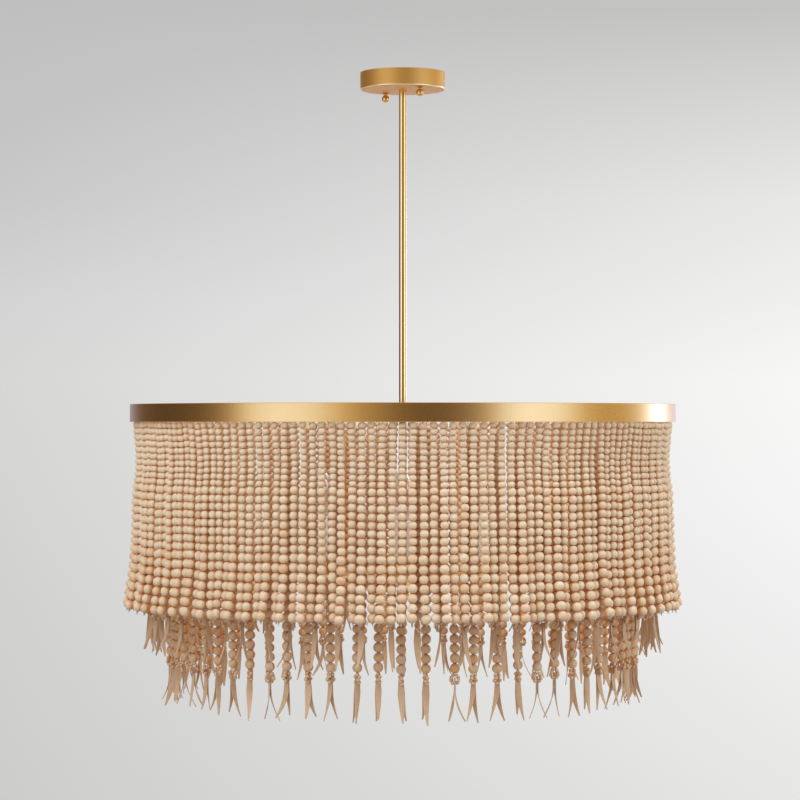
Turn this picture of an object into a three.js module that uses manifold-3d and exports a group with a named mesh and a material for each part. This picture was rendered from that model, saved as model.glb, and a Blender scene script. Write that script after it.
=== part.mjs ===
import * as THREE from "three";
import { mergeVertices } from "three/addons/utils/BufferGeometryUtils.js";
import Module from "manifold-3d";

// A beaded drum chandelier: a gold hoop on a down rod, with three rings of wooden bead strands hung
// inside it. The two inner rings end in bead loops and folded leather tassels, and six candle lamps
// stand within. Millimetres, +Z up, with the origin on the ceiling where the rod's axis meets it.

// Clearances that every seat shares
const seatGap = 0.3; // between faces that touch on the real thing
const overrun = 2; // how far a cutting tool passes the face that it opens

// Ceiling crossbar with its studs, nipple and nut
const crossbarEndGap = 5.3; // from the crossbar's ends to the canopy's wall
const crossbarWidth = 20;
const crossbarThickness = 2.5;
const slotLength = 15;
const slotWidth = 5;
const slotInset = 17; // from a stud to the middle of the slot beside it
const studDiameter = 4;
const studInset = 9; // from the crossbar's end
const studTurn = -57.4; // degrees about Z, the way the crossbar lies
const studThreadDepth = 7.5; // how far a stud reaches into its ball nut
const nippleDiameter = 8;
const nippleDepthInRod = 14;
const lockNutAcross = 14;
const lockNutHeight = 5;

// Canopy
const canopyDiameter = 125;
const canopyHeight = 26;
const canopyWall = 1.2;
const canopyEdgeRadius = 5;

// Ball cap nuts
const nutHeight = 13.3;
const nutConeDiameter = 8.4;
const nutConeHeight = 2.2;
const nutNeckDiameter = 5.8;
const nutBallDiameter = 11.5;
const nutTopLand = 0.8; // the straight edge under the canopy

// Down rod, and the stem that goes on below the frame
const dropToBand = 489; // from the ceiling to the band's top edge
const rodDiameter = 11;
const rodWall = 1.2;
const rodEngagement = 9; // depth of rod or stem in a hub
const leadDiameter = 5;

// Ring band
const bandDiameter = 800;
const bandHeight = 26;
const bandWall = 1.5;

// Spoke frame
const spokeCount = 4;
const spokeWidth = 14;
const spokeThickness = 6;
const hubDiameter = 36;
const hubHeight = 22;
const hubFoot = 4; // how far the hub reaches below the spokes

// Hanging rings
const ringWire = 4;
const ringRise = 5; // the rings' centre above the band's lower edge
const outerInset = 10; // from the band's outside to the outer strands' axis
const middleStep = 20; // from the outer strands to the middle ones
const innerStep = 30; // from the middle strands to the inner ones

// Hanging strips: each panel's row of top loops, joined
const stripWidth = 12;
const stripHeight = 2.6;
const hookDrop = 2; // from a tassel ring to its panels' strips, which two hooks bridge
const hookSize = 4;

// Beads: width across, and height along the strand
const smallBead = 10;
const smallBeadHeight = 8.75;
const mediumBead = 11.6;
const mediumBeadHeight = 11;
const largeBead = 13.6;
const largeBeadHeight = 13;

// The outer strands
const outerPanels = 12;
const outerStrandsPerPanel = 15;
const outerSmallBeadCount = 10;
const outerMediumBeadCount = 8;
const outerLargeBeadCount = 7;
const skirtFlare = 14; // how far the lowest beads stand out past the ring
const skirtBelly = 1; // the same where the large beads begin

// The middle and inner strands with tassels
const tasselPanels = 6;
const tasselStrandsPerPanel = 11;
const middleSmallBeadCount = 11;
const middleMediumBeadCount = 8;
const middleLargeBeadCount = 6;
const innerSmallBeadCount = 10;
const innerMediumBeadCount = 8;
const innerLargeBeadCount = 12;
const innerLinkLength = 3; // of bare wire above the first inner bead

// Bead loops and folded leather tassels
const loopHeight = 18;
const loopWidth = 17;
const tailLength = 52; // from the loop's foot to the tips
const tailWidth = 11;
const tailThickness = 1.6;
const tailSpread = 26; // across the two tips
const tailOverlap = 5; // how far the leather reaches up into the loop
const tailJoinShare = 0.4; // of the tail's length that hangs as one
const tailTurnStep = 47; // degrees from one tassel to the next
const edgeTurn = 90; // degrees: a panel's end tassels stand edge on to the next panel

// Lamp cluster
const lampCount = 6;
const lampRadius = 140;
const armDiameter = 8;
const armDrop = 223; // from the band's lower edge to the arms' level
const armRise = 20; // from the arms' level to the candle holders' feet
const armBend = 22;
const lampHubDiameter = 46;
const lampHubHeight = 34;
const lampHubBelt = 16; // height of its widest part, where the arms enter
const lampHubCollarDiameter = 22;
const lampHubFootDiameter = 16;
const holderDiameter = 26;
const holderHeight = 62;
const socketDiameter = 15.4;
const socketDepth = 27;
const bulbCapDiameter = 14;
const bulbCapHeight = 25;
const bulbDiameter = 35;
const bulbHeight = 76;
const bulbTipDiameter = 4;
const finialDiameter = 18;
const finialNeckDiameter = 8;
const finialNeckHeight = 5;

// Facets
const bandSideCount = 60;
const ringSideCount = 40;
const wireSideCount = 4;
const canopySideCount = 28;
const tubeSideCount = 16;
const smallSideCount = 10;
const pinSideCount = 8;
const armQuarterSteps = 2;
const armSteps = 6;
const columnSideCount = 4;
const bulbSteps = 5;
const edgeSteps = 3;
const ballSteps = 4;
const outerStripSteps = 3;
const tasselStripSteps = 5;

const manifold = await Module();
manifold.setup();
const { Manifold, Mesh: SolidMesh } = manifold;

// Finishes
const satinGold = new THREE.MeshStandardMaterial({ color: "#c79a4b", roughness: 0.38, metalness: 1 });
const steel = new THREE.MeshStandardMaterial({ color: "#9a9a98", roughness: 0.4, metalness: 1 });
const rawWood = new THREE.MeshStandardMaterial({ color: "#dcc29c", roughness: 0.75, metalness: 0 });
const ivoryCard = new THREE.MeshStandardMaterial({ color: "#efe6d2", roughness: 0.6, metalness: 0 });
const clearGlass = new THREE.MeshStandardMaterial({ color: "#f4f4f0", roughness: 0.05, metalness: 0 });
const leadJacket = new THREE.MeshStandardMaterial({ color: "#2c2a28", roughness: 0.6, metalness: 0 });

const chandelier = new THREE.Group();
const radians = THREE.MathUtils.degToRad;
const fullTurn = 2 * Math.PI;

function addPiece(name, geometry, material, parent = chandelier) {
  const piece = new THREE.Mesh(geometry, material);
  piece.name = name;
  parent.add(piece);
  return piece;
}

// A geometry as a solid for joins and cuts
function toSolid(geometry) {
  const bare = geometry.clone();
  bare.deleteAttribute("normal");
  bare.deleteAttribute("uv");
  const merged = mergeVertices(bare);
  return new Manifold(
    new SolidMesh({
      numProp: 3,
      vertProperties: Float32Array.from(merged.attributes.position.array),
      triVerts: Uint32Array.from(merged.index.array),
    }),
  );
}

function toGeometry(solid) {
  const { vertProperties, triVerts } = solid.getMesh();
  const geometry = new THREE.BufferGeometry();
  geometry.setAttribute("position", new THREE.BufferAttribute(vertProperties, 3));
  geometry.setIndex(new THREE.BufferAttribute(triVerts, 1));
  geometry.computeVertexNormals();
  return geometry;
}

function join(geometries) {
  return toGeometry(geometries.map(toSolid).reduce((whole, next) => whole.add(next)));
}

function cut(body, tools) {
  return toGeometry(tools.map(toSolid).reduce((whole, tool) => whole.subtract(tool), toSolid(body)));
}

// A profile of [radius, height] pairs turned about Z
function turned(profile, sides) {
  const points = profile.map(([radius, height]) => new THREE.Vector2(radius, height));
  return new THREE.LatheGeometry(points, sides).rotateX(Math.PI / 2);
}

function rod(diameter, bottom, top, sides) {
  const radius = diameter / 2;
  return turned([[0, bottom], [radius, bottom], [radius, top], [0, top]], sides);
}

function tube(outerDiameter, innerDiameter, bottom, top, sides) {
  const outer = outerDiameter / 2;
  const inner = innerDiameter / 2;
  return turned([[inner, bottom], [outer, bottom], [outer, top], [inner, top], [inner, bottom]], sides);
}

// The [radius, height] points of an arc round a centre, from one angle to another in degrees
function arcPoints(centreRadius, centreHeight, radius, fromAngle, toAngle, steps) {
  return Array.from({ length: steps + 1 }, (_, step) => {
    const angle = radians(fromAngle + ((toAngle - fromAngle) * step) / steps);
    return [centreRadius + radius * Math.cos(angle), centreHeight + radius * Math.sin(angle)];
  });
}

function box(width, depth, height) {
  return new THREE.BoxGeometry(width, depth, height);
}

// The crossbar fills the canopy, and its studs and slots keep their distance from its ends
const crossbarLength = canopyDiameter - 2 * (canopyWall + crossbarEndGap);
const studSpacing = crossbarLength - 2 * studInset;
const slotCentre = studSpacing / 2 - slotInset;

// Levels that the pieces share
const bandBottom = -(dropToBand + bandHeight);
const bandInnerRadius = bandDiameter / 2 - bandWall;
const ringLevel = bandBottom + ringRise;
const ringTop = ringLevel + ringWire / 2;
const spokeBottom = ringTop + seatGap;
const spokeTop = spokeBottom + spokeThickness;
const hubBottom = spokeBottom - hubFoot;
const hubTop = hubBottom + hubHeight;
const hangLevel = ringLevel - ringWire / 2 - seatGap;
const outerStripTop = hangLevel;
const tasselStripTop = ringLevel - ringWire / 2 - hookDrop;
const outerRadius = bandDiameter / 2 - outerInset;
const middleRadius = outerRadius - middleStep;
const innerRadius = middleRadius - innerStep;
const rodBore = rodDiameter - 2 * rodWall;
const leadBore = leadDiameter + 2 * seatGap;
const hubWebHeight = hubHeight - 2 * rodEngagement;
const armLevel = bandBottom - armDrop;
const lampHubTop = armLevel + lampHubHeight / 2;
const lampHubBottom = lampHubTop - lampHubHeight;
const holderBottom = armLevel + armRise + seatGap;
const holderTop = holderBottom + holderHeight;

// Ceiling fixing: a slotted crossbar, two studs, and the nipple that the rod screws on to

const crossbarBottom = -crossbarThickness;
const rodTop = crossbarBottom - lockNutHeight - 2 * seatGap;

function crossbarShape() {
  const bar = box(crossbarLength, crossbarWidth, crossbarThickness).translate(0, 0, crossbarBottom / 2);
  const holeTop = overrun;
  const holeBottom = crossbarBottom - overrun;
  const tools = [rod(nippleDiameter + 2 * seatGap, holeBottom, holeTop, smallSideCount)];
  for (const side of [-1, 1]) {
    const studHole = rod(studDiameter + 2 * seatGap, holeBottom, holeTop, pinSideCount);
    tools.push(studHole.translate((side * studSpacing) / 2, 0, 0));
    const slot = box(slotLength, slotWidth, holeTop - holeBottom);
    tools.push(slot.translate(side * slotCentre, 0, (holeTop + holeBottom) / 2));
  }
  return cut(bar, tools);
}

const ceilingFixing = new THREE.Group();
ceilingFixing.rotation.z = radians(studTurn);
chandelier.add(ceilingFixing);
addPiece("crossbar", crossbarShape(), steel, ceilingFixing);

const nutTop = -canopyHeight - seatGap;
const studBottom = nutTop - studThreadDepth;
for (const [index, side] of [-1, 1].entries()) {
  const studShape = rod(studDiameter, studBottom, 0, pinSideCount);
  const stud = addPiece(`stud_${index + 1}`, studShape, steel, ceilingFixing);
  stud.position.x = (side * studSpacing) / 2;
}

const nippleBottom = rodTop - nippleDepthInRod;
addPiece("nipple", tube(nippleDiameter, leadBore, nippleBottom, 0, smallSideCount), steel);

const lockNutTop = crossbarBottom - seatGap;
const hexSideCount = 6;
const acrossCorners = 1 / Math.cos(Math.PI / hexSideCount);
const lockNutBore = (nippleDiameter + 2 * seatGap) * acrossCorners;
const lockNutShape = tube(
  lockNutAcross * acrossCorners,
  lockNutBore,
  lockNutTop - lockNutHeight,
  lockNutTop,
  hexSideCount,
);
addPiece("lock_nut", lockNutShape, steel);

// Canopy: a pan with a rounded lower edge, holes for the studs and a hole for the rod

function canopyShape() {
  const outer = canopyDiameter / 2;
  const edgeCentre = outer - canopyEdgeRadius;
  const edgeLevel = -canopyHeight + canopyEdgeRadius;
  const innerEdgeRadius = canopyEdgeRadius - canopyWall;
  const hole = rodDiameter / 2 + seatGap;
  const profile = [
    [hole, -canopyHeight],
    ...arcPoints(edgeCentre, edgeLevel, canopyEdgeRadius, -90, 0, edgeSteps),
    [outer, 0],
    [outer - canopyWall, 0],
    ...arcPoints(edgeCentre, edgeLevel, innerEdgeRadius, 0, -90, edgeSteps),
    [hole, -canopyHeight + canopyWall],
    [hole, -canopyHeight],
  ];
  const holeBottom = -canopyHeight - overrun;
  const holeTop = -canopyHeight + canopyWall + overrun;
  const tools = [-1, 1].map((side) =>
    rod(studDiameter + 2 * seatGap, holeBottom, holeTop, pinSideCount)
      .translate((side * studSpacing) / 2, 0, 0)
      .rotateZ(radians(studTurn)),
  );
  return cut(turned(profile, canopySideCount), tools);
}

addPiece("canopy", canopyShape(), satinGold);

// Ball cap nut: a low cone base, a short neck and a ball, bored from above for its stud

function ballNutShape() {
  const bore = studDiameter / 2 + seatGap;
  const boreDepth = studThreadDepth + seatGap + studDiameter / 2;
  const coneRadius = nutConeDiameter / 2;
  const neckRadius = nutNeckDiameter / 2;
  const ballRadius = nutBallDiameter / 2;
  const ballCentre = -nutHeight + ballRadius;
  const neckAngle = THREE.MathUtils.radToDeg(Math.acos(neckRadius / ballRadius));
  return turned(
    [
      ...arcPoints(0, ballCentre, ballRadius, -90, neckAngle, ballSteps),
      [neckRadius, -nutConeHeight],
      [coneRadius, -nutTopLand],
      [coneRadius, 0],
      [bore, 0],
      [bore, -boreDepth],
      [0, -boreDepth],
    ],
    smallSideCount,
  );
}

for (const [index, side] of [-1, 1].entries()) {
  const nut = addPiece(`ball_nut_${index + 1}`, ballNutShape(), satinGold, ceilingFixing);
  nut.position.set((side * studSpacing) / 2, 0, nutTop);
}

// Down rod, frame hub with spokes, stem, and the supply lead inside them

const rodSeat = hubTop - rodEngagement + seatGap;
addPiece("down_rod", tube(rodDiameter, rodBore, rodSeat, rodTop, tubeSideCount), satinGold);

const hubSocket = rodDiameter + 2 * seatGap;
const stemSeat = hubBottom + rodEngagement - seatGap;
const stemFoot = lampHubTop - rodEngagement + seatGap;
addPiece("lower_stem", tube(rodDiameter, rodBore, stemFoot, stemSeat, tubeSideCount), satinGold);

// A hub as a closed profile: sockets for the tubes above and below, and a narrow bore between
function spokeFrameShape() {
  const outer = hubDiameter / 2;
  const socket = hubSocket / 2;
  const bore = leadBore / 2;
  const webTop = hubTop - rodEngagement;
  const webBottom = webTop - hubWebHeight;
  const hub = turned(
    [
      [socket, hubBottom],
      [outer, hubBottom],
      [outer, hubTop],
      [socket, hubTop],
      [socket, webTop],
      [bore, webTop],
      [bore, webBottom],
      [socket, webBottom],
      [socket, hubBottom],
    ],
    tubeSideCount,
  );
  // A spoke starts inside the hub's wall and stops short of the band's facets
  const start = (socket + outer) / 2;
  const facetInset = (spokeWidth / 2) * Math.tan(Math.PI / bandSideCount);
  const end = bandInnerRadius - facetInset - seatGap;
  const spokes = Array.from({ length: spokeCount }, (_, index) =>
    box(end - start, spokeWidth, spokeThickness)
      .translate((start + end) / 2, 0, (spokeTop + spokeBottom) / 2)
      .rotateZ((index * fullTurn) / spokeCount),
  );
  return join([hub, ...spokes]);
}

addPiece("spoke_frame", spokeFrameShape(), satinGold);
const leadFoot = lampHubTop - rodEngagement - hubWebHeight / 2;
addPiece("supply_lead", rod(leadDiameter, leadFoot, 0, pinSideCount), leadJacket);

// Ring band

const bandShape = tube(bandDiameter, 2 * bandInnerRadius, bandBottom, -dropToBand, bandSideCount);
addPiece("ring_band", bandShape, satinGold);

// Hanging rings: round wire under the spokes

function hangingRing(radius) {
  const section = arcPoints(radius, ringLevel, ringWire / 2, 0, 360, wireSideCount);
  return turned(section, ringSideCount);
}

addPiece("outer_hanging_ring", hangingRing(outerRadius), satinGold);
addPiece("middle_hanging_ring", hangingRing(middleRadius), satinGold);
addPiece("inner_hanging_ring", hangingRing(innerRadius), satinGold);

// Strands: each a column whose width follows its beads, hung from its panel's strip of top loops

// A column through [radius, height, half width] levels from the top down, at an angle round the ring
function strandColumn(levels, angle) {
  const positions = [];
  for (const [radius, height, halfWidth] of levels) {
    for (let side = 0; side < columnSideCount; side++) {
      const corner = (side * fullTurn) / columnSideCount;
      positions.push(radius + halfWidth * Math.cos(corner), halfWidth * Math.sin(corner), height);
    }
  }
  const faces = [];
  for (let level = 0; level < levels.length - 1; level++) {
    for (let side = 0; side < columnSideCount; side++) {
      const next = (side + 1) % columnSideCount;
      const above = level * columnSideCount;
      const below = above + columnSideCount;
      faces.push(above + side, below + side, below + next);
      faces.push(above + side, below + next, above + next);
    }
  }
  const last = (levels.length - 1) * columnSideCount;
  for (let side = 1; side < columnSideCount - 1; side++) {
    faces.push(0, side, side + 1);
    faces.push(last, last + side + 1, last + side);
  }
  const geometry = new THREE.BufferGeometry();
  geometry.setAttribute("position", new THREE.Float32BufferAttribute(positions, 3));
  geometry.setIndex(faces);
  return geometry.rotateZ(angle);
}

// The strip over one panel's strands, short of the next panel's by the seat gap
function hangingStrip(radius, top, panelAngle, steps) {
  const gapAngle = seatGap / radius;
  const start = (gapAngle - panelAngle) / 2;
  const end = (panelAngle - gapAngle) / 2;
  const outline = new THREE.Shape();
  outline.absarc(0, 0, radius + stripWidth / 2, start, end, false);
  outline.absarc(0, 0, radius - stripWidth / 2, end, start, true);
  const strip = new THREE.ExtrudeGeometry(outline, {
    depth: stripHeight,
    bevelEnabled: false,
    curveSegments: steps,
  });
  return strip.translate(0, 0, top - stripHeight);
}

// Two hooks that reach from a strip to its ring, where a line through both balances the panel
function hangingHooks(radius, top, panelAngle) {
  const halfAngle = panelAngle / 2;
  const hookAngle = Math.acos(Math.sin(halfAngle) / halfAngle);
  const foot = top - stripHeight / 2;
  return [-hookAngle, hookAngle].map((angle) =>
    box(hookSize, hookSize, hangLevel - foot)
      .translate(radius, 0, (hangLevel + foot) / 2)
      .rotateZ(angle),
  );
}

// Angles of a panel's strands, with the panel's middle at zero
function strandAngles(panelAngle, count) {
  return Array.from({ length: count }, (_, index) => ((index + 1 / 2) / count - 1 / 2) * panelAngle);
}

function outerPanelShape() {
  const smallEnd = outerStripTop - stripHeight - outerSmallBeadCount * smallBeadHeight;
  const mediumEnd = smallEnd - outerMediumBeadCount * mediumBeadHeight;
  const largeEnd = mediumEnd - outerLargeBeadCount * largeBeadHeight;
  const levels = [
    [outerRadius, outerStripTop - stripHeight / 2, smallBead / 2],
    [outerRadius + skirtBelly, mediumEnd, mediumBead / 2],
    [outerRadius + skirtFlare, largeEnd, largeBead / 2],
  ];
  const panelAngle = fullTurn / outerPanels;
  const angles = strandAngles(panelAngle, outerStrandsPerPanel);
  return join([
    hangingStrip(outerRadius, outerStripTop, panelAngle, outerStripSteps),
    ...angles.map((angle) => strandColumn(levels, angle)),
  ]);
}

// A leather strip folded over the loop's foot: the two tails hang as one, then spread
function tasselTails(foot) {
  const crotch = -tailLength * tailJoinShare;
  const half = tailSpread / 2;
  const outline = new THREE.Shape();
  outline.moveTo(-tailThickness, tailOverlap);
  outline.lineTo(-tailThickness, crotch);
  outline.lineTo(-half, -tailLength);
  outline.lineTo(-half + tailThickness, -tailLength);
  outline.lineTo(0, crotch);
  outline.lineTo(half - tailThickness, -tailLength);
  outline.lineTo(half, -tailLength);
  outline.lineTo(tailThickness, crotch);
  outline.lineTo(tailThickness, tailOverlap);
  const tails = new THREE.ExtrudeGeometry(outline, { depth: tailWidth, bevelEnabled: false });
  return tails
    .translate(0, 0, -tailWidth / 2)
    .rotateX(Math.PI / 2)
    .translate(0, 0, foot);
}

function tasselPanelShape(radius, linkLength, smallCount, mediumCount, largeCount) {
  const smallEnd = tasselStripTop - stripHeight - linkLength - smallCount * smallBeadHeight;
  const mediumEnd = smallEnd - mediumCount * mediumBeadHeight;
  const largeEnd = mediumEnd - largeCount * largeBeadHeight;
  const foot = largeEnd - loopHeight;
  const levels = [
    [radius, tasselStripTop - stripHeight / 2, smallBead / 2],
    [radius, largeEnd, largeBead / 2],
    [radius, foot, loopWidth / 2],
  ];
  const panelAngle = fullTurn / tasselPanels;
  const angles = strandAngles(panelAngle, tasselStrandsPerPanel);
  const tassels = angles.map((angle, index) => {
    const atEdge = index === 0 || index === angles.length - 1;
    const turn = radians(atEdge ? edgeTurn : index * tailTurnStep);
    return tasselTails(foot)
      .rotateZ(turn + Math.PI / 2)
      .translate(radius, 0, 0)
      .rotateZ(angle);
  });
  return join([
    hangingStrip(radius, tasselStripTop, panelAngle, tasselStripSteps),
    ...hangingHooks(radius, tasselStripTop, panelAngle),
    ...angles.map((angle) => strandColumn(levels, angle)),
    ...tassels,
  ]);
}

const outerPanel = outerPanelShape();
for (let index = 0; index < outerPanels; index++) {
  const panel = addPiece(`outer_strands_${index + 1}`, outerPanel, rawWood);
  panel.rotation.z = (index * fullTurn) / outerPanels;
}

// The inner strands hang half a pitch round from the middle ones
const tasselPitch = fullTurn / (tasselPanels * tasselStrandsPerPanel);
const middleBeadCounts = [middleSmallBeadCount, middleMediumBeadCount, middleLargeBeadCount];
const innerBeadCounts = [innerSmallBeadCount, innerMediumBeadCount, innerLargeBeadCount];
const tiers = [
  ["middle", tasselPanelShape(middleRadius, 0, ...middleBeadCounts), 0],
  ["inner", tasselPanelShape(innerRadius, innerLinkLength, ...innerBeadCounts), tasselPitch / 2],
];
for (const [tier, shape, offset] of tiers) {
  for (let index = 0; index < tasselPanels; index++) {
    const panel = addPiece(`${tier}_tassel_strands_${index + 1}`, shape, rawWood);
    panel.rotation.z = (index * fullTurn) / tasselPanels + offset;
  }
}

// Lamp cluster: a turned hub on the stem, six bent arms, candle holders and bulbs

function lampHubShape() {
  const outer = lampHubDiameter / 2;
  const socket = hubSocket / 2;
  const shoulder = outer - armDiameter / 2;
  const beltBottom = armLevel - lampHubBelt / 2;
  const beltTop = beltBottom + lampHubBelt;
  const boreBottom = lampHubTop - rodEngagement;
  return turned(
    [
      [0, lampHubBottom],
      [lampHubFootDiameter / 2, lampHubBottom],
      [shoulder, beltBottom],
      [outer, beltBottom],
      [outer, beltTop],
      [shoulder, beltTop],
      [lampHubCollarDiameter / 2, lampHubTop],
      [socket, lampHubTop],
      [socket, boreBottom],
      [leadBore / 2, boreBottom],
      [leadBore / 2, boreBottom - hubWebHeight],
      [0, boreBottom - hubWebHeight],
    ],
    smallSideCount,
  );
}

addPiece("lamp_hub", lampHubShape(), satinGold);

function armShape() {
  const start = lampHubDiameter / 2 + seatGap;
  const holderFoot = armLevel + armRise;
  const path = new THREE.CurvePath();
  const bendStart = new THREE.Vector3(lampRadius - armBend, 0, armLevel);
  const corner = new THREE.Vector3(lampRadius, 0, armLevel);
  const end = new THREE.Vector3(lampRadius, 0, holderFoot);
  path.add(new THREE.LineCurve3(new THREE.Vector3(start, 0, armLevel), bendStart));
  path.add(new THREE.QuadraticBezierCurve3(bendStart, corner, end));
  const section = new THREE.Shape();
  section.absarc(0, 0, armDiameter / 2, 0, fullTurn, false);
  return new THREE.ExtrudeGeometry(section, {
    steps: armSteps,
    curveSegments: 2 * armQuarterSteps,
    extrudePath: path,
  });
}

function holderShape() {
  const outer = holderDiameter / 2;
  const socket = socketDiameter / 2;
  return turned(
    [
      [0, holderBottom],
      [outer, holderBottom],
      [outer, holderTop],
      [socket, holderTop],
      [socket, holderTop - socketDepth],
      [0, holderTop - socketDepth],
    ],
    smallSideCount,
  );
}

// A candle bulb: its cap in the socket, and a glass that swells and draws in to a tip
function bulbShape() {
  const capRadius = bulbCapDiameter / 2;
  const glassRadius = bulbDiameter / 2;
  const tipRadius = bulbTipDiameter / 2;
  const glassFoot = holderTop + seatGap;
  const capFoot = glassFoot - bulbCapHeight;
  const widestShare = 0.36;
  const glass = Array.from({ length: bulbSteps + 1 }, (_, step) => {
    const share = step / bulbSteps;
    const swell =
      share < widestShare
        ? Math.sin((Math.PI / 2) * (share / widestShare))
        : Math.cos((Math.PI / 2) * ((share - widestShare) / (1 - widestShare)));
    const base = share < widestShare ? capRadius : tipRadius;
    return [base + (glassRadius - base) * swell, glassFoot + share * bulbHeight];
  });
  return turned([[0, capFoot], [capRadius, capFoot], ...glass, [0, glassFoot + bulbHeight]], smallSideCount);
}

const arm = armShape();
const holder = holderShape();
const bulb = bulbShape();
for (let index = 0; index < lampCount; index++) {
  const branch = new THREE.Group();
  branch.rotation.z = ((index + 1 / 2) * fullTurn) / lampCount;
  chandelier.add(branch);
  addPiece(`lamp_arm_${index + 1}`, arm, satinGold, branch);
  addPiece(`candle_holder_${index + 1}`, holder, ivoryCard, branch).position.x = lampRadius;
  addPiece(`bulb_${index + 1}`, bulb, clearGlass, branch).position.x = lampRadius;
}

function finialShape() {
  const ballRadius = finialDiameter / 2;
  const neckRadius = finialNeckDiameter / 2;
  const top = lampHubBottom - seatGap;
  const neckAngle = THREE.MathUtils.radToDeg(Math.acos(neckRadius / ballRadius));
  const ballCentre = top - finialNeckHeight - ballRadius * Math.sin(radians(neckAngle));
  return turned(
    [...arcPoints(0, ballCentre, ballRadius, -90, neckAngle, ballSteps), [neckRadius, top], [0, top]],
    smallSideCount,
  );
}

addPiece("bottom_finial", finialShape(), satinGold);

export default chandelier;
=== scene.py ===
"""A beaded drum chandelier, dressed for a plain studio picture.

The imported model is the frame: its bodies, joints and plain solids stay where they are, and every
fine surface here is built round them and rides on them. Metres, +Z up, with the origin on the
ceiling where the down rod's axis meets it, and -Y towards the camera.
"""

from __future__ import annotations

import logging
import math
from collections.abc import Sequence
from dataclasses import dataclass, field
from enum import Enum

import bpy
import numpy as np
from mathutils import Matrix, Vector

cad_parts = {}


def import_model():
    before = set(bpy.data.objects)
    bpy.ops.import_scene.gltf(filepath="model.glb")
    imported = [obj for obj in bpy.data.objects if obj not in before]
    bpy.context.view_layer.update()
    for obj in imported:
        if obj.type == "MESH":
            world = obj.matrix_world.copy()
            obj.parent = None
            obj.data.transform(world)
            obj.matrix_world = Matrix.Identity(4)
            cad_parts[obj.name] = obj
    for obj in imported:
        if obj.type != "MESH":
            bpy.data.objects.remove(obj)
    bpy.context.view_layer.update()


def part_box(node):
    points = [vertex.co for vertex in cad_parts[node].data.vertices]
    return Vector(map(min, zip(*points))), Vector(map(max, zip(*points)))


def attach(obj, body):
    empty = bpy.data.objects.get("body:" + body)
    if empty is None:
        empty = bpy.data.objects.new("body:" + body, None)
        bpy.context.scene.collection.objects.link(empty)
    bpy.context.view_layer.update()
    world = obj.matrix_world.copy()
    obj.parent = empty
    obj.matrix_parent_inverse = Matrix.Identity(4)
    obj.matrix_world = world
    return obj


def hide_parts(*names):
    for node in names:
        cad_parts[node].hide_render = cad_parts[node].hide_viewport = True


LOG = logging.getLogger("chandelier")
MM = 0.001
TURN = 2 * math.pi
UP = np.array([0.0, 0.0, 1.0])
SIDEWAYS = np.array([0.0, 1.0, 0.0])
WIRE_SIDES = 5
Tree = bpy.types.NodeTree
Node = bpy.types.Node
Profile = list[tuple[float, float]]
Points = tuple[tuple[float, float], ...]
Triple = tuple[float, float, float]
Colours = tuple[str, ...]


class Slot(Enum):
    """The material slots."""

    GOLD = "satin_gold"
    ZINC = "zinc_steel"
    WOOD = "raw_wood"
    LEATHER = "tan_leather"
    SILVER = "silver_crimp"
    IVORY = "ivory_sleeve"
    GLASS = "bulb_glass"
    LEAD = "lead_jacket"


class Bead(Enum):
    """Turned beads by size: width, height along the strand, roundness, and how tan their wood is."""

    SEED = (5.5 * MM, 5.1 * MM, 1.0, 0.1)
    SMALL = (10.8 * MM, 8.75 * MM, 0.76, 0.0)
    MEDIUM = (12.2 * MM, 11.0 * MM, 0.84, 0.07)
    LARGE = (13.8 * MM, 13.0 * MM, 0.94, 0.15)

    @property
    def width(self) -> float:
        """The bead's diameter across its bore."""
        return self.value[0]

    @property
    def height(self) -> float:
        """The bead's length along its bore."""
        return self.value[1]

    @property
    def roundness(self) -> float:
        """One for a ball, and less for a barrel with straighter sides."""
        return self.value[2]

    @property
    def tan(self) -> float:
        """The share of tan in the wood's colour by size: the large beads at a strand's foot have the most,
        so the curtains grow darker towards their foot.
        """
        return self.value[3]


def linear(colour: str) -> tuple[float, float, float, float]:
    """Turns an sRGB hex colour to linear light.

    Args:
        colour: six hex digits after a hash sign.

    Returns:
        Red, green, blue and a full alpha.
    """
    parts = [int(colour[at : at + 2], 16) / 255 for at in (1, 3, 5)]
    red, green, blue = (p / 12.92 if p <= 0.04045 else ((p + 0.055) / 1.055) ** 2.4 for p in parts)
    return red, green, blue, 1.0


def add(
    tree: Tree, kind: str, inputs: dict[str | int, object] | None = None, **settings: object
) -> Node:
    """Adds a node with its settings, values and links.

    Args:
        tree: the node tree that gets it.
        kind: the node's type, without the ShaderNode that they all start with.
        inputs: for a socket's name or number, a value, an output, or a node for its first output.
        **settings: the node's own properties.

    Returns:
        The new node.
    """
    node = tree.nodes.new("ShaderNode" + kind)
    for key, value in settings.items():
        setattr(node, key, value)
    for key, value in (inputs or {}).items():
        socket = node.inputs[key]
        source = value.outputs[0] if isinstance(value, Node) else value
        if isinstance(source, bpy.types.NodeSocket):
            tree.links.new(source, socket)
        else:
            socket.default_value = source
    return node


@dataclass(frozen=True)
class Finish:
    """What all finishes share: a name, the record's slot, and one material made from their values."""

    name: str = "finish"
    slot: Slot = Slot.GOLD

    def material(self) -> bpy.types.Material:
        """Makes the finish's material on its first use.

        Returns:
            The material.
        """
        known = bpy.data.materials.get(self.name)
        if known is not None:
            return known
        made = bpy.data.materials.new(self.name)
        made.use_nodes = True
        tree = made.node_tree
        tree.nodes.clear()
        add(tree, "OutputMaterial", {"Surface": self.paint(tree)})
        return made

    def paint(self, tree: Tree) -> Node:
        """Fills the material's empty node tree and gives its surface."""
        raise NotImplementedError


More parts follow.
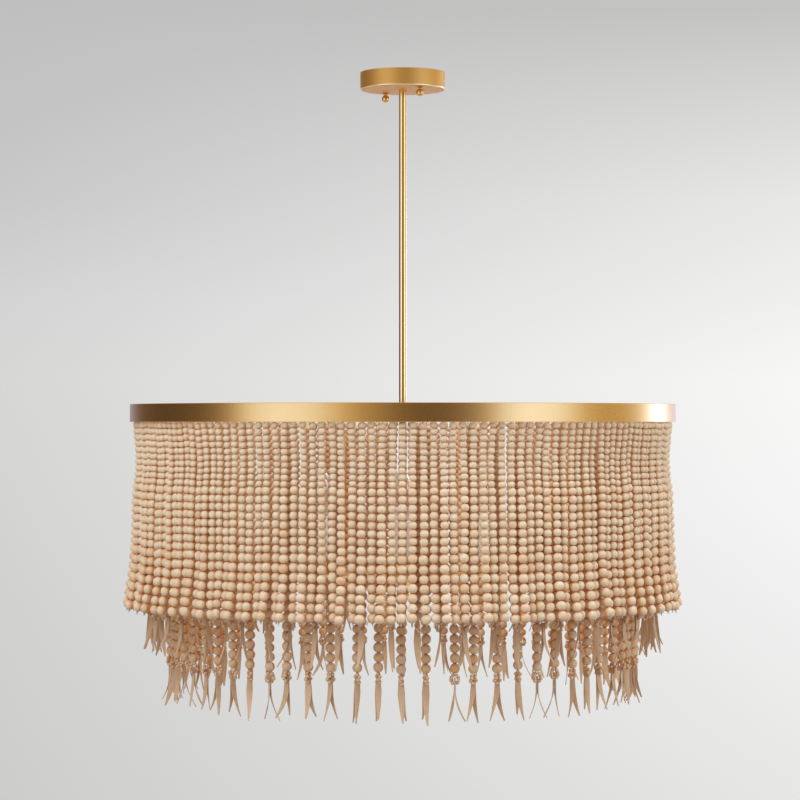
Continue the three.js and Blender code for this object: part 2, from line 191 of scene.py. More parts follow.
@dataclass(frozen=True)
class RawBeech(Finish):
    """Beech beads, turned and left unfinished: dry and pale, with soft growth rings and short pores."""

    name: str = "raw turned beech"
    slot: Slot = Slot.WOOD
    pale: str = "#f3e4ca"
    ring: str = "#ebd6b7"
    # A tan that the wood has here and there, and that is also painted in as shade
    tan_and_shade: str = "#d49556"
    ring_spacing: float = 2.6 * MM
    # Beech pores are about 0.1 mm wide, too fine to show, so they are drawn six times as wide
    pore_width: float = 0.6 * MM
    mottle_width: float = 4.0 * MM
    relief: float = 0.12 * MM
    roughness: float = 0.7
    # The drill and the lathe's heat tan the end grain round each bore, and the tan there is also painted
    # shade for the gap where bead meets bead
    bore_tan_and_shade: float = 0.5
    bore_power: int = 4
    # Painted shade: the wood is painted more tan on faces that look sideways into the gaps between strands,
    # standing for the shade there.
    # A face counts as in a gap from where it looks this far sideways, and gets less again where it looks
    # back
    gap_shade_tan: float = 0.85
    gap_shade_start: float = 0.65
    gap_shade_slope: float = 2.0
    back_fade: float = 0.8
    # Each bead has its own shade and is cut from its own place in a block this wide
    tone_spread: float = 0.08
    most_tan: float = 0.6
    block: float = 0.4

    def paint(self, tree: Tree) -> Node:
        """Rings across the grain, pores along it, and each bead's tone, which also carries painted shade.

        Args:
            tree: the material's empty node tree.

        Returns:
            Its surface.
        """
        grain = add(tree, "Attribute", attribute_name="grain").outputs["Vector"]
        tone = add(tree, "Attribute", attribute_name="tone").outputs["Fac"]
        rings = add(
            tree,
            "TexWave",
            {
                "Vector": grain,
                "Scale": TURN / 20 / self.ring_spacing,
                "Distortion": 2.2,
                "Detail": 2.0,
                "Detail Scale": 0.6,
            },
            wave_type="BANDS",
            wave_profile="SAW",
        )
        along = add(tree, "VectorMath", {0: grain, 1: (1.0, 1.0, 0.16)}, operation="MULTIPLY")
        pores = add(
            tree,
            "TexNoise",
            {"Vector": along, "Scale": 1 / self.pore_width, "Detail": 3.0, "Roughness": 0.6},
        )
        mottle = add(tree, "TexNoise", {"Vector": grain, "Scale": 1 / self.mottle_width})
        ringed = add(
            tree,
            "Mix",
            {0: rings.outputs["Fac"], 6: linear(self.pale), 7: linear(self.ring)},
            data_type="RGBA",
        )
        patch = add(tree, "MapRange", {"Value": mottle, "From Min": 0.42, "From Max": 0.72, "To Max": 0.16})
        shade = add(tree, "Math", {0: patch, 1: tone}, operation="ADD", use_clamp=True)
        tan_and_shade = add(
            tree, "Mix", {0: shade, 6: ringed.outputs[2], 7: linear(self.tan_and_shade)}, data_type="RGBA"
        )
        speck = add(tree, "MapRange", {"Value": pores, "From Min": 0.36, "From Max": 0.5, "To Min": 0.92})
        colour = add(
            tree, "Mix", {0: 1.0, 6: tan_and_shade.outputs[2], 7: speck}, data_type="RGBA", blend_type="MULTIPLY"
        )
        bump = add(tree, "Bump", {"Height": pores, "Strength": 0.6, "Distance": self.relief})
        return add(
            tree,
            "BsdfPrincipled",
            {"Base Color": colour.outputs[2], "Roughness": self.roughness, "IOR": 1.45, "Normal": bump},
        )


@dataclass(frozen=True)
class SplitLeather(Finish):
    """Split cowhide cut in strips: matt and slightly furry, with fibres drawn out along each strip."""

    name: str = "split cowhide"
    slot: Slot = Slot.LEATHER
    skin: str = "#e1c09c"
    pale: str = "#efd7b8"
    dark: str = "#b48c68"
    # The split's fibres are about 0.05 mm thick, so bundles of them are drawn instead
    fibre_width: float = 0.7 * MM
    patch_width: float = 9.0 * MM
    relief: float = 0.2 * MM
    roughness: float = 0.82

    def paint(self, tree: Tree) -> Node:
        """Long fibres and slow patches, with a faint nap that catches light at the edges.

        Args:
            tree: the material's empty node tree.

        Returns:
            Its surface.
        """
        grain = add(tree, "Attribute", attribute_name="grain").outputs["Vector"]
        tone = add(tree, "Attribute", attribute_name="tone").outputs["Fac"]
        drawn = add(tree, "VectorMath", {0: grain, 1: (1.0, 0.12, 1.0)}, operation="MULTIPLY")
        fibres = add(
            tree,
            "TexNoise",
            {"Vector": drawn, "Scale": 1 / self.fibre_width, "Detail": 4.0, "Roughness": 0.65},
        )
        patches = add(tree, "TexNoise", {"Vector": grain, "Scale": 1 / self.patch_width})
        fibred = add(tree, "Mix", {0: fibres, 6: linear(self.dark), 7: linear(self.pale)}, data_type="RGBA")
        toned = add(tree, "Mix", {0: tone, 6: linear(self.skin), 7: linear(self.dark)}, data_type="RGBA")
        mixed = add(tree, "Mix", {0: patches, 6: fibred.outputs[2], 7: toned.outputs[2]}, data_type="RGBA")
        bump = add(tree, "Bump", {"Height": fibres, "Strength": 0.5, "Distance": self.relief})
        surface = {"Base Color": mixed.outputs[2], "Roughness": self.roughness, "Normal": bump}
        return add(tree, "BsdfPrincipled", {**surface, "Sheen Weight": 0.2, "Sheen Roughness": 0.5})


@dataclass(frozen=True)
class SatinBrass(Finish):
    """Steel plated with brass and blasted to a satin sheen, so its reflections are broad and soft."""

    name: str = "satin brass plate"
    colour: str = "#e7bf7d"
    worn: str = "#dcb06c"
    roughness: float = 0.3
    # The blasted grit is about 0.1 mm, drawn coarser so that it shows as a faint sparkle
    grit: float = 0.9 * MM
    relief: float = 0.02 * MM
    # How far the grit is drawn out along each axis, where the metal was drawn and not blasted
    stretch: Triple = (1.0, 1.0, 1.0)
    # Handling polishes an edge, so this much of its roughness is gone, and its plating there is painted
    # paler as a painted highlight
    rubbed: str = "#fbe7c0"
    rub: float = 0.62

    def paint(self, tree: Tree) -> Node:
        """A grit that breaks up the gloss, a slow change of colour in the plating, and a painted highlight
        on polished edges.

        Args:
            tree: the material's empty node tree.

        Returns:
            Its surface.
        """
        place = add(tree, "TexCoord").outputs["Object"]
        drawn = add(
            tree,
            "VectorMath",
            {0: place, 1: tuple(1 / part for part in self.stretch)},
            operation="MULTIPLY",
        )
        grit = add(tree, "TexNoise", {"Vector": drawn, "Scale": 1 / self.grit, "Roughness": 0.7})
        cloud = add(tree, "TexNoise", {"Vector": place, "Scale": 14.0})
        colour = add(
            tree, "Mix", {0: cloud, 6: linear(self.colour), 7: linear(self.worn)}, data_type="RGBA"
        )
        gloss = add(
            tree,
            "MapRange",
            {"Value": grit, "To Min": self.roughness * 0.9, "To Max": self.roughness * 1.1},
        )
        # The polished edge: less rough, and painted paler as a highlight
        edge = add(tree, "Attribute", attribute_name="rubbed").outputs["Fac"]
        pale = add(tree, "Mix", {0: edge, 6: colour.outputs[2], 7: linear(self.rubbed)}, data_type="RGBA")
        lost = add(tree, "Math", {0: edge, 1: -self.rub}, operation="MULTIPLY")
        smooth = add(tree, "Math", {0: gloss, 1: lost, 2: gloss}, operation="MULTIPLY_ADD")
        bump = add(tree, "Bump", {"Height": grit, "Strength": 0.5, "Distance": self.relief})
        return add(
            tree,
            "BsdfPrincipled",
            {"Base Color": pale.outputs[2], "Metallic": 1.0, "Roughness": smooth, "Normal": bump},
        )


@dataclass(frozen=True)
class ZincPlate(Finish):
    """Stamped steel with bright zinc plating: grey and cool, with a cloudy, half dull surface."""

    name: str = "zinc plated steel"
    slot: Slot = Slot.ZINC
    bright: str = "#c9c4bb"
    dull: str = "#98938a"
    cloud_width: float = 6.0 * MM
    roughness: float = 0.32

    def paint(self, tree: Tree) -> Node:
        """Clouded plating.

        Args:
            tree: the material's empty node tree.

        Returns:
            Its surface.
        """
        place = add(tree, "TexCoord").outputs["Object"]
        cloud = add(tree, "TexNoise", {"Vector": place, "Scale": 1 / self.cloud_width, "Detail": 4.0})
        colour = add(
            tree, "Mix", {0: cloud, 6: linear(self.bright), 7: linear(self.dull)}, data_type="RGBA"
        )
        gloss = add(
            tree,
            "MapRange",
            {"Value": cloud, "To Min": self.roughness - 0.1, "To Max": self.roughness + 0.15},
        )
        return add(
            tree, "BsdfPrincipled", {"Base Color": colour.outputs[2], "Metallic": 1.0, "Roughness": gloss}
        )


@dataclass(frozen=True)
class PlainFinish(Finish):
    """A finish of one colour with a fine moulded or drawn texture."""

    colour: str = "#808080"
    second: str = "#707070"
    metallic: float = 0.0
    roughness: float = 0.5
    texture_width: float = 1.2 * MM
    relief: float = 0.03 * MM

    def paint(self, tree: Tree) -> Node:
        """A fine texture in colour and height.

        Args:
            tree: the material's empty node tree.

        Returns:
            Its surface.
        """
        place = add(tree, "TexCoord").outputs["Object"]
        noise = add(tree, "TexNoise", {"Vector": place, "Scale": 1 / self.texture_width, "Detail": 3.0})
        colour = add(
            tree, "Mix", {0: noise, 6: linear(self.colour), 7: linear(self.second)}, data_type="RGBA"
        )
        bump = add(tree, "Bump", {"Height": noise, "Strength": 0.3, "Distance": self.relief})
        surface = {"Base Color": colour.outputs[2], "Roughness": self.roughness, "Normal": bump}
        return add(tree, "BsdfPrincipled", {**surface, "Metallic": self.metallic})


@dataclass(frozen=True)
class BlownGlass(Finish):
    """Clear soda-lime glass, blown thin."""

    name: str = "clear blown glass"
    slot: Slot = Slot.GLASS
    tint: str = "#fbfbf8"
    roughness: float = 0.02
    ior: float = 1.5

    def paint(self, tree: Tree) -> Node:
        """Clear, smooth and colourless.

        Args:
            tree: the material's empty node tree.

        Returns:
            Its surface.
        """
        surface = {"Base Color": linear(self.tint), "Roughness": self.roughness, "IOR": self.ior}
        return add(tree, "BsdfPrincipled", {**surface, "Transmission Weight": 1.0})


BEECH = RawBeech()
LEATHER = SplitLeather()
# Frame, straps and hub: a soft even gold
BRASS = SatinBrass()
# The hoop is rolled from sheet and blasted after, so its grit is the coarsest
HOOP_BRASS = SatinBrass(name="blasted brass plate", roughness=0.28, grit=1.2 * MM, relief=0.03 * MM)
# The canopy is brushed and nearly matt, so it shows one slow change from dark to light
PAN_BRASS = SatinBrass(
    name="brushed brass plate", colour="#e4b566", worn="#d7a354", roughness=0.54, stretch=(8.0, 8.0, 1.0)
)
# Turned nuts, arms and finial are polished, so they carry small sharp highlights
POLISHED_BRASS = SatinBrass(name="polished brass plate", roughness=0.14, relief=0.002 * MM)
# Tube drawn through a die and polished: reflections run down it as long straight lines
DRAWN_BRASS = SatinBrass(
    name="drawn brass tube",
    colour="#f6d493",
    worn="#f0c983",
    roughness=0.16,
    grit=1.6 * MM,
    relief=0.0003 * MM,
    stretch=(1.0, 1.0, 60.0),
)
ZINC = ZincPlate()
# Silver plated over copper gives each crimp a warm white glint
SILVER = PlainFinish(
    "silver plated copper", Slot.SILVER, "#d0c5b6", "#bdb1a0", 1.0, 0.24, 0.8 * MM, 0.01 * MM
)
# Annealed wire is grey and duller, and shows only between beads
WIRE = PlainFinish("annealed steel wire", Slot.SILVER, "#bfb8ad", "#a59d92", 1.0, 0.3, 0.8 * MM, 0.01 * MM)
# Moulded sleeves are cream and half matt, like wax
IVORY = PlainFinish("ivory polypropylene", Slot.IVORY, "#f1e8d3", "#ebe0c8", 0.0, 0.42, 2.5 * MM, 0.05 * MM)
# The lead's extruded jacket is black with a faint gloss
PVC = PlainFinish("black pvc jacket", Slot.LEAD, "#2b2928", "#232120", 0.0, 0.5, 0.8 * MM, 0.03 * MM)
# Unlit filaments are thin and dark grey
TUNGSTEN = PlainFinish("drawn tungsten", Slot.SILVER, "#4c4a48", "#3c3a39", 1.0, 0.5, 0.5 * MM, 0.01 * MM)
GLASS = BlownGlass()


@dataclass
class Shape:
    """Points and faces of one or more closed forms, with values that a finish reads at each point."""

    points: np.ndarray
    corners: np.ndarray
    sizes: np.ndarray
    marks: dict[str, np.ndarray] = field(default_factory=dict)

    @classmethod
    def join(cls, shapes: Sequence[Shape]) -> Shape:
        """Puts shapes that hold the same kinds of values into one.

        Args:
            shapes: the shapes, in their order.

        Returns:
            All of them as one.
        """
        starts = np.cumsum([0] + [len(s.points) for s in shapes[:-1]])
        return cls(
            np.concatenate([s.points for s in shapes]),
            np.concatenate([s.corners + start for s, start in zip(shapes, starts)]),
            np.concatenate([s.sizes for s in shapes]),
            {key: np.concatenate([s.marks[key] for s in shapes]) for key in shapes[0].marks},
        )

    @classmethod
    def ringed(cls, rings: np.ndarray, loop: bool = False) -> Shape:
        """Joins rings of points into a closed form whose faces point out.

        Args:
            rings: points by ring and by place round the ring.
            loop: whether the last ring joins the first. If not, both ends get a flat cap.

        Returns:
            The form.
        """
        rows, columns = rings.shape[:2]
        row = np.arange(rows if loop else rows - 1)[:, None]
        column = np.arange(columns)[None, :]
        after = (row + 1) % rows
        beside = (column + 1) % columns
        here, there = row * columns, after * columns
        quads = np.stack([here + column, here + beside, there + beside, there + column], -1).reshape(-1, 4)
        points = rings.reshape(-1, 3)
        centre = points.mean(0)
        a, b, c, d = (points[quads[:, k]] - centre for k in range(4))
        volume = (np.cross(a, b) * c).sum() + (np.cross(a, c) * d).sum()
        faces = [quads.ravel()]
        sizes = [np.full(len(quads), 4)]
        if not loop:
            faces += [np.arange(columns)[::-1], (rows - 1) * columns + np.arange(columns)]
            sizes.append(np.array([columns, columns]))
        if volume < 0:
            faces = [face[::-1] for face in faces]
        return cls(points, np.concatenate(faces), np.concatenate(sizes))

    @classmethod
    def turned(cls, profile: Profile | np.ndarray, sides: int, loop: bool = False) -> Shape:
        """Turns a profile of radius and height pairs about the vertical axis.

        Args:
            profile: radius and height pairs, from below on the outside.
            sides: how many sides the form has.
            loop: whether the profile closes on itself.

        Returns:
            The form.
        """
        radius, height = np.array(profile, float).T
        angles = np.arange(sides) * TURN / sides
        across, level = radius[:, None], np.repeat(height[:, None], sides, 1)
        return cls.ringed(np.dstack([across * np.cos(angles), across * np.sin(angles), level]), loop)

    @classmethod
    def swept(cls, path: np.ndarray, across: np.ndarray, section: np.ndarray, loop: bool = False) -> Shape:
        """Carries a section along a path.

        Args:
            path: the path's points.
            across: a direction for the section's first axis, for the whole path or for each point.
            section: the section's points in its own two axes, for the whole path or for each point.
            loop: whether the path closes on itself.

        Returns:
            The form.
        """
        before, after = (np.roll(path, 1, 0), np.roll(path, -1, 0)) if loop else (path[:-1], path[1:])
        along = after - before if loop else np.gradient(path, axis=0)
        along = along / np.linalg.norm(along, axis=1, keepdims=True)
        side = np.broadcast_to(across, path.shape)
        side = side - (side * along).sum(1, keepdims=True) * along
        side = side / np.linalg.norm(side, axis=1, keepdims=True)
        other = np.cross(along, side)
        flat = np.broadcast_to(section, (len(path),) + section.shape[-2:])
        rings = path[:, None] + flat[..., :1] * side[:, None] + flat[..., 1:] * other[:, None]
        return cls.ringed(rings, loop)

    @classmethod
    def wire_loop(cls, half_wide: float, half_high: float, level: float, wire: float, steps: int) -> Shape:
        """Bends an upright oval loop of wire that spreads along X.

        Args:
            half_wide: half its width between wire centres.
            half_high: half its height between wire centres.
            level: the height of its middle.
            wire: the wire's radius.
            steps: how many stretches the loop has.

        Returns:
            The loop.
        """
        angles = np.arange(steps) * TURN / steps
        path = np.stack([half_wide * np.sin(angles), 0 * angles, level + half_high * np.cos(angles)], 1)
        return cls.swept(path, SIDEWAYS, circle(wire, WIRE_SIDES), loop=True)

    def copies(self, turns: np.ndarray, places: np.ndarray, scales: np.ndarray | None = None) -> Shape:
        """Copies the shape to many places.

        Args:
            turns: a rotation matrix for each copy.
            places: where each copy's origin goes.
            scales: each copy's scale along its own three axes.

        Returns:
            All copies in one shape, without values.
        """
        count = len(places)
        local = np.broadcast_to(self.points, (count, *self.points.shape))
        if scales is not None:
            local = local * scales[:, None, :]
        points = np.einsum("nij,nvj->nvi", turns, local) + places[:, None, :]
        starts = np.arange(count)[:, None] * len(self.points)
        return Shape(
            points.reshape(-1, 3), (self.corners[None, :] + starts).ravel(), np.tile(self.sizes, count)
        )

    def moved(self, place: Sequence[float], angle: float = 0.0) -> Shape:
        """The shape turned about the vertical axis and then moved.

        Args:
            place: how far it moves.
            angle: how far it turns first, in radians.

        Returns:
            The moved shape.
        """
        cos, sin = math.cos(angle), math.sin(angle)
        turn = np.array([[cos, -sin, 0], [sin, cos, 0], [0, 0, 1]])
        return Shape(self.points @ turn.T + np.array(place), self.corners, self.sizes, self.marks)


def circle(radius: float, sides: int) -> np.ndarray:
    """The points of a circle in its own two axes."""
    angles = np.arange(sides) * TURN / sides
    return np.stack([np.cos(angles), np.sin(angles)], 1) * radius


def oblong(wide: float, thick: float) -> np.ndarray:
    """The corners of an oblong in its own two axes."""
    return np.array([(-1, -1), (1, -1), (1, 1), (-1, 1)]) * (wide / 2, thick / 2)


def arc(centre: tuple[float, float], radius: float, start: float, end: float, steps: int) -> Profile:
    """Points along an arc.

    Args:
        centre: the arc's centre, as a radius and a height.
        radius: the arc's own radius.
        start: its first angle in degrees.
        end: its last angle in degrees.
        steps: how many stretches it has.

    Returns:
        Radius and height pairs.
    """
    angles = np.radians(np.linspace(start, end, steps + 1))
    return [(centre[0] + radius * math.cos(a), centre[1] + radius * math.sin(a)) for a in angles]


def rounded_tube(inner: float, outer: float, bottom: float, top: float, edge: float) -> Profile:
    """The closed profile of a tube's wall, its four edges rounded and its long walls shaded straight.

    Args:
        inner: the bore's radius.
        outer: the outside's radius.
        bottom: the lower end.
        top: the upper end.
        edge: the edges' radius.

    Returns:
        Radius and height pairs.
    """
    steps = 3
    low = bottom + 3 * edge
    high = top - 3 * edge
    return [
        *arc((outer - edge, bottom + edge), edge, -90, 0, steps),
        (outer, low),
        (outer, high),
        *arc((outer - edge, top - edge), edge, 0, 90, steps),
        *arc((inner + edge, top - edge), edge, 90, 180, steps),
        (inner, high),
        (inner, low),
        *arc((inner + edge, bottom + edge), edge, 180, 270, steps),
    ]


def threaded(radius: float, bottom: float, top: float, pitch: float) -> Profile:
    """The outer profile of a threaded pin, its thread drawn as close grooves.

    Args:
        radius: the thread's outer radius.
        bottom: the lower end.
        top: the upper end.
        pitch: the rise of one turn.

    Returns:
        Radius and height pairs.
    """
    depth = 0.5 * pitch
    count = int((top - bottom) / pitch)
    profile = [(radius - depth, bottom)]
    for turn in range(count):
        foot = bottom + turn * pitch
        profile += [(radius - depth, foot + 0.1 * pitch), (radius, foot + 0.5 * pitch)]
    return profile + [(radius - depth, bottom + count * pitch), (radius - depth, top)]


def middle_of(node: str) -> Vector:
    """The middle of a node's box."""
    return sum(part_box(node), Vector()) / 2


def ring_of(node: str) -> Triple:
    """Reads a hanging ring from its node.

    Args:
        node: the ring's node.

    Returns:
        The ring's radius, its wire's own radius and its height.
    """
    low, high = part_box(node)
    wire = (high.z - low.z) / 2
    return high.x - wire, wire, (low.z + high.z) / 2


@dataclass(frozen=True)
class Piece:
    """One piece of the light: its shape, its finish, and the body that it rides on."""

    name: str
    shape: Shape
    finish: Finish
    body: str
    stands_for: tuple[str, ...] = ()
    crease: float = 38.0

    @property
    def slot(self) -> Slot:
        """The slot for its finish."""
        return self.finish.slot

    def make(self) -> bpy.types.Object:
        """Builds the piece and gives it its finish and its body.

        Returns:
            The finished object.
        """
        shape = self.shape
        mesh = bpy.data.meshes.new(self.name)
        mesh.vertices.add(len(shape.points))
        mesh.vertices.foreach_set("co", shape.points.astype(np.float32).ravel())
        mesh.loops.add(len(shape.corners))
        mesh.loops.foreach_set("vertex_index", shape.corners.astype(np.int32))
        mesh.polygons.add(len(shape.sizes))
        starts = np.concatenate([[0], np.cumsum(shape.sizes)[:-1]])
        mesh.polygons.foreach_set("loop_start", starts.astype(np.int32))
        mesh.update(calc_edges=True)
        mesh.validate()
        mesh.polygons.foreach_set("use_smooth", np.ones(len(mesh.polygons), bool))
        mesh.set_sharp_from_angle(angle=math.radians(self.crease))
        for key, values in shape.marks.items():
            kind, form = ("FLOAT", "value") if values.ndim == 1 else ("FLOAT_VECTOR", "vector")
            mark = mesh.attributes.new(key, kind, "POINT")
            mark.data.foreach_set(form, values.astype(np.float32).ravel())
        mesh.materials.append(self.finish.material())
        made = bpy.data.objects.new(self.name, mesh)
        bpy.context.scene.collection.objects.link(made)
        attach(made, self.body)
        self.slot.value
        if self.stands_for:
            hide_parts(*self.stands_for)
        LOG.info("%s: %d faces, rides on %s", self.name, len(shape.sizes), self.body)
        return made


@dataclass
class Studio:
    """The camera, the lamps, the room's pale light and the floor."""

    eye: Triple = (0.0, -4.0, -0.515)
    aim: Triple = (-0.004, 0.0, -0.4826)
    lens: float = 122.2
    floor_level: float = -4.5
    floor_radius: float = 14.0
    # The room's grey behind the light, from its darker corner to its lighter one
    wall_stops: tuple[float, ...] = (0.05, 0.4, 0.55, 0.65, 0.77, 0.89, 1.0)
    wall_left: Colours = ("#cccccb", "#d3d3d2", "#d6d6d5", "#d3d3d3", "#c8c8c8", "#c2c2c2", "#bfbfbf")
    wall_right: Colours = ("#e7e7e6", "#f5f5f5", "#f8f8f7", "#f0f0ef", "#e8e8e7", "#d7d7d6", "#c3c3c2")
    # How bright metal sees the room, by the angle round it from the camera, in degrees and light
    reflections: Points = (
        (-180, 0.6), (-158, 0.45), (-137, 0.13), (-118, 0.06), (-98, 0.05), (-78, 0.24), (-62, 1.34),
        (-45, 1.45), (-31, 1.04), (-18, 0.56), (-8, 0.29), (3, 0.05), (14, 0.02), (24, 0.11),
        (36, 0.56), (50, 1.6), (63, 1.52), (78, 0.84), (92, 0.6), (108, 0.72), (120, 1.05),
        (146, 0.9), (162, 0.85), (180, 0.6),
    )
    # One tall bright window, seen only by metal at its own height
    window_angle: float = 133.0
    window_width: float = 8.5
    window_core: float = 0.4
    window_ends: tuple[float, float] = (0.05, 0.12)
    window_light: float = 3.4
    # How far the room evens out above and below the hoop, and towards which light
    evenness: float = 0.45
    even_from: float = 0.05
    even_to: float = 0.16
    middling: float = 0.68
    # Plain surfaces get warm light that has bounced off wood, more from above than from below
    bounced: str = "#fff1df"
    light_above: float = 0.68
    light_below: float = 0.24
    # Straight up and down metal sees an even room, and on the way down a pale floor in the lamps' light
    even_light: float = 0.7
    ceiling_start: float = 0.45
    ceiling_end: float = 0.85
    floor_light: float = 0.9
    floor_start: float = -0.3
    floor_end: float = -0.6
    # The walls' colours change within this much of the level and of the camera's own direction
    wall_reach: float = 0.15
    # The room's dark sides are warm timber, and its bright ones daylight, from one brightness to the next
    timber: tuple[float, ...] = (1.0, 0.7, 0.54, 1.0)
    brighter: tuple[tuple[float, float, tuple[float, ...]], ...] = (
        (0.2, 0.7, (1.0, 0.84, 0.46, 1.0)),
        (0.7, 0.98, (1.0, 1.03, 1.0, 1.0)),
        (0.95, 1.5, (0.95, 1.22, 2.1, 1.0)),
    )
    # Its far end, by how far a ray points away from the camera
    far_end: tuple[float, float, tuple[float, ...]] = (0.78, 0.97, (1.0, 1.1, 1.7, 1.0))
    # The soft boxes: name, place, size and watts
    boxes: tuple[tuple[str, Triple, float, float], ...] = (
        ("key box", (-1.4, -2.1, 1.2), 2.4, 58.0),
        ("fill box", (3.2, -1.0, 0.6), 1.8, 48.0),
        ("back box", (1.6, 2.6, 0.6), 1.6, 42.0),
        ("top box", (0.3, -0.4, 1.3), 0.9, 20.0),
    )
    box_colour: str = "#e6f0ff"
    curtain_level: float = -0.6
    floor_paint: str = "#dde0e5"
    floor_glow: str = "#d6d5d3"
    glow_strength: float = 0.35
    floor_sides: int = 96
    fade_start: float = 5.0
    fade_end: float = 13.0

    def place_camera(self) -> None:
        """Stands the camera at the height of the hoop, four metres off."""
        lens = bpy.data.cameras.new("camera")
        lens.lens = self.lens
        lens.sensor_width = 36.0
        camera = bpy.data.objects.new("camera", lens)
        camera.location = self.eye
        direction = Vector(self.aim) - Vector(self.eye)
        camera.rotation_euler = direction.to_track_quat("-Z", "Y").to_euler()
        bpy.context.scene.collection.objects.link(camera)
        bpy.context.scene.camera = camera
        bpy.context.scene.view_settings.view_transform = "Standard"

    def hang_lamp(self, name: str, place: Triple, size: float, watts: float) -> None:
        """Hangs one square soft box that faces the curtain's middle.

        Args:
            name: its name.
            place: where it hangs.
            size: its side.
            watts: its power.
        """
        box = bpy.data.lights.new(name, "AREA")
        box.shape = "SQUARE"
        box.size = size
        box.energy = watts
        box.color = linear(self.box_colour)[:3]
        lamp = bpy.data.objects.new(name, box)
        lamp.location = place
        facing = Vector((0.0, 0.0, self.curtain_level)) - Vector(place)
        lamp.rotation_euler = facing.to_track_quat("-Z", "Y").to_euler()
        # Metal sees the room's own bright and dark walls instead of the boxes
        lamp.visible_glossy = False
        lamp.visible_camera = False
        bpy.context.scene.collection.objects.link(lamp)

    def light_room(self) -> None:
        """Lights the room: even light for the surfaces, grey walls for the camera, bands for metal."""
        world = bpy.data.worlds.new("room")
        bpy.context.scene.world = world
        world.use_nodes = True
        tree = world.node_tree
        tree.nodes.clear()
        way = add(tree, "TexCoord")
        parts = add(tree, "SeparateXYZ", {0: way.outputs["Generated"]})
        x, y, z = parts.outputs
        reach = {"From Min": -self.wall_reach, "From Max": self.wall_reach}
        rise = add(tree, "MapRange", {"Value": z, **reach})
        walls = []
        for colours in (self.wall_left, self.wall_right):
            ramp = add(tree, "ValToRGB", {"Fac": rise})
            for place in self.wall_stops[1:-1]:
                ramp.color_ramp.elements.new(place)
            for stop, place, colour in zip(ramp.color_ramp.elements, self.wall_stops, colours):
                stop.position = place
                stop.color = linear(colour)
            walls.append(ramp.outputs["Color"])
        over = add(tree, "MapRange", {"Value": x, **reach})
        wall = add(tree, "Mix", {0: over, 6: walls[0], 7: walls[1]}, data_type="RGBA")
        back = add(tree, "Math", {0: y, 1: -1.0}, operation="MULTIPLY")
        angle = add(tree, "Math", {0: x, 1: back}, operation="ARCTAN2")
        share = add(tree, "MapRange", {"Value": angle, "From Min": -math.pi, "From Max": math.pi})
        curve = add(tree, "FloatCurve", {"Value": share})
        brightest = max(value for _, value in self.reflections)
        points = curve.mapping.curves[0].points
        for degrees, value in self.reflections[1:-1]:
            points.new((degrees + 180) / 360, value / brightest)
        points[0].location = (0.0, self.reflections[0][1] / brightest)
        points[-1].location = (1.0, self.reflections[-1][1] / brightest)
        curve.mapping.update()
        wide = add(tree, "Math", {0: curve, 1: brightest}, operation="MULTIPLY")
        # Above and below the hoop's own height the room is more even
        steep = add(tree, "Math", {0: z}, operation="ABSOLUTE")
        even = add(
            tree,
            "MapRange",
            {"Value": steep, "From Min": self.even_from, "From Max": self.even_to, "To Max": self.evenness},
        )
        soft = add(tree, "Mix", {0: even, 2: wide, 3: self.middling})
        band = self.window(tree, angle, z, soft)
        # Straight up and down, metal sees the plain ceiling and floor
        cap = add(
            tree, "MapRange", {"Value": steep, "From Min": self.ceiling_start, "From Max": self.ceiling_end}
        )
        capped = add(tree, "Mix", {0: cap, 2: band, 3: self.even_light})
        down = add(
            tree,
            "MapRange",
            {
                "Value": z,
                "From Min": self.floor_start,
                "From Max": self.floor_end,
                "To Max": self.floor_light,
            },
            interpolation_type="SMOOTHSTEP",
        )
        seen = add(tree, "Math", {0: capped, 1: down}, operation="ADD")
        tint = self.timber
        for value, start, end, colour in (*((seen, *stage) for stage in self.brighter), (y, *self.far_end)):
            part = add(tree, "MapRange", {"Value": value, "From Min": start, "From Max": end})
            mix = add(tree, "Mix", {0: part, 6: tint, 7: colour}, data_type="RGBA")
            tint = mix.outputs[2]
        rays = add(tree, "LightPath")
        amount = add(
            tree,
            "MapRange",
            {"Value": z, "From Min": -1, "To Min": self.light_below, "To Max": self.light_above},
        )
        plain = add(tree, "Background", {"Color": linear(self.bounced), "Strength": amount})
        view = add(tree, "Background", {"Color": wall.outputs[2]})
        metal = add(tree, "Background", {"Color": tint, "Strength": seen})
        clear = add(
            tree,
            "Math",
            {0: rays.outputs["Is Camera Ray"], 1: rays.outputs["Is Transmission Ray"]},
            operation="MAXIMUM",
        )
        first = add(tree, "MixShader", {0: rays.outputs["Is Glossy Ray"], 1: plain, 2: metal})
        second = add(tree, "MixShader", {0: clear, 1: first, 2: view})
        add(tree, "OutputWorld", {"Surface": second})

    def window(self, tree: Tree, angle: Node, level: bpy.types.NodeSocket, wide: Node) -> Node:
        """Adds the bright window to what metal sees.

        Args:
            tree: the world's node tree.
            angle: the angle round the room, in radians from the camera.
            level: how far up the ray points.
            wide: the light without the window.

        Returns:
            The node whose first output is the light with the window.
        """
        half = math.radians(self.window_width)
        off = add(tree, "Math", {0: angle, 1: math.radians(self.window_angle)}, operation="SUBTRACT")
        side = add(tree, "Math", {0: off}, operation="ABSOLUTE")
        high = add(tree, "Math", {0: level}, operation="ABSOLUTE")
        shares = []
        for value, start, end in ((side, self.window_core * half, half), (high, *self.window_ends)):
            part = add(
                tree,
                "MapRange",
                {"Value": value, "From Min": start, "From Max": end, "To Min": 1, "To Max": 0},
                interpolation_type="SMOOTHSTEP",
            )
            shares.append(part)
        both = add(tree, "Math", {0: shares[0], 1: shares[1]}, operation="MULTIPLY")
        return add(tree, "Math", {0: both, 1: self.window_light, 2: wide}, operation="MULTIPLY_ADD")

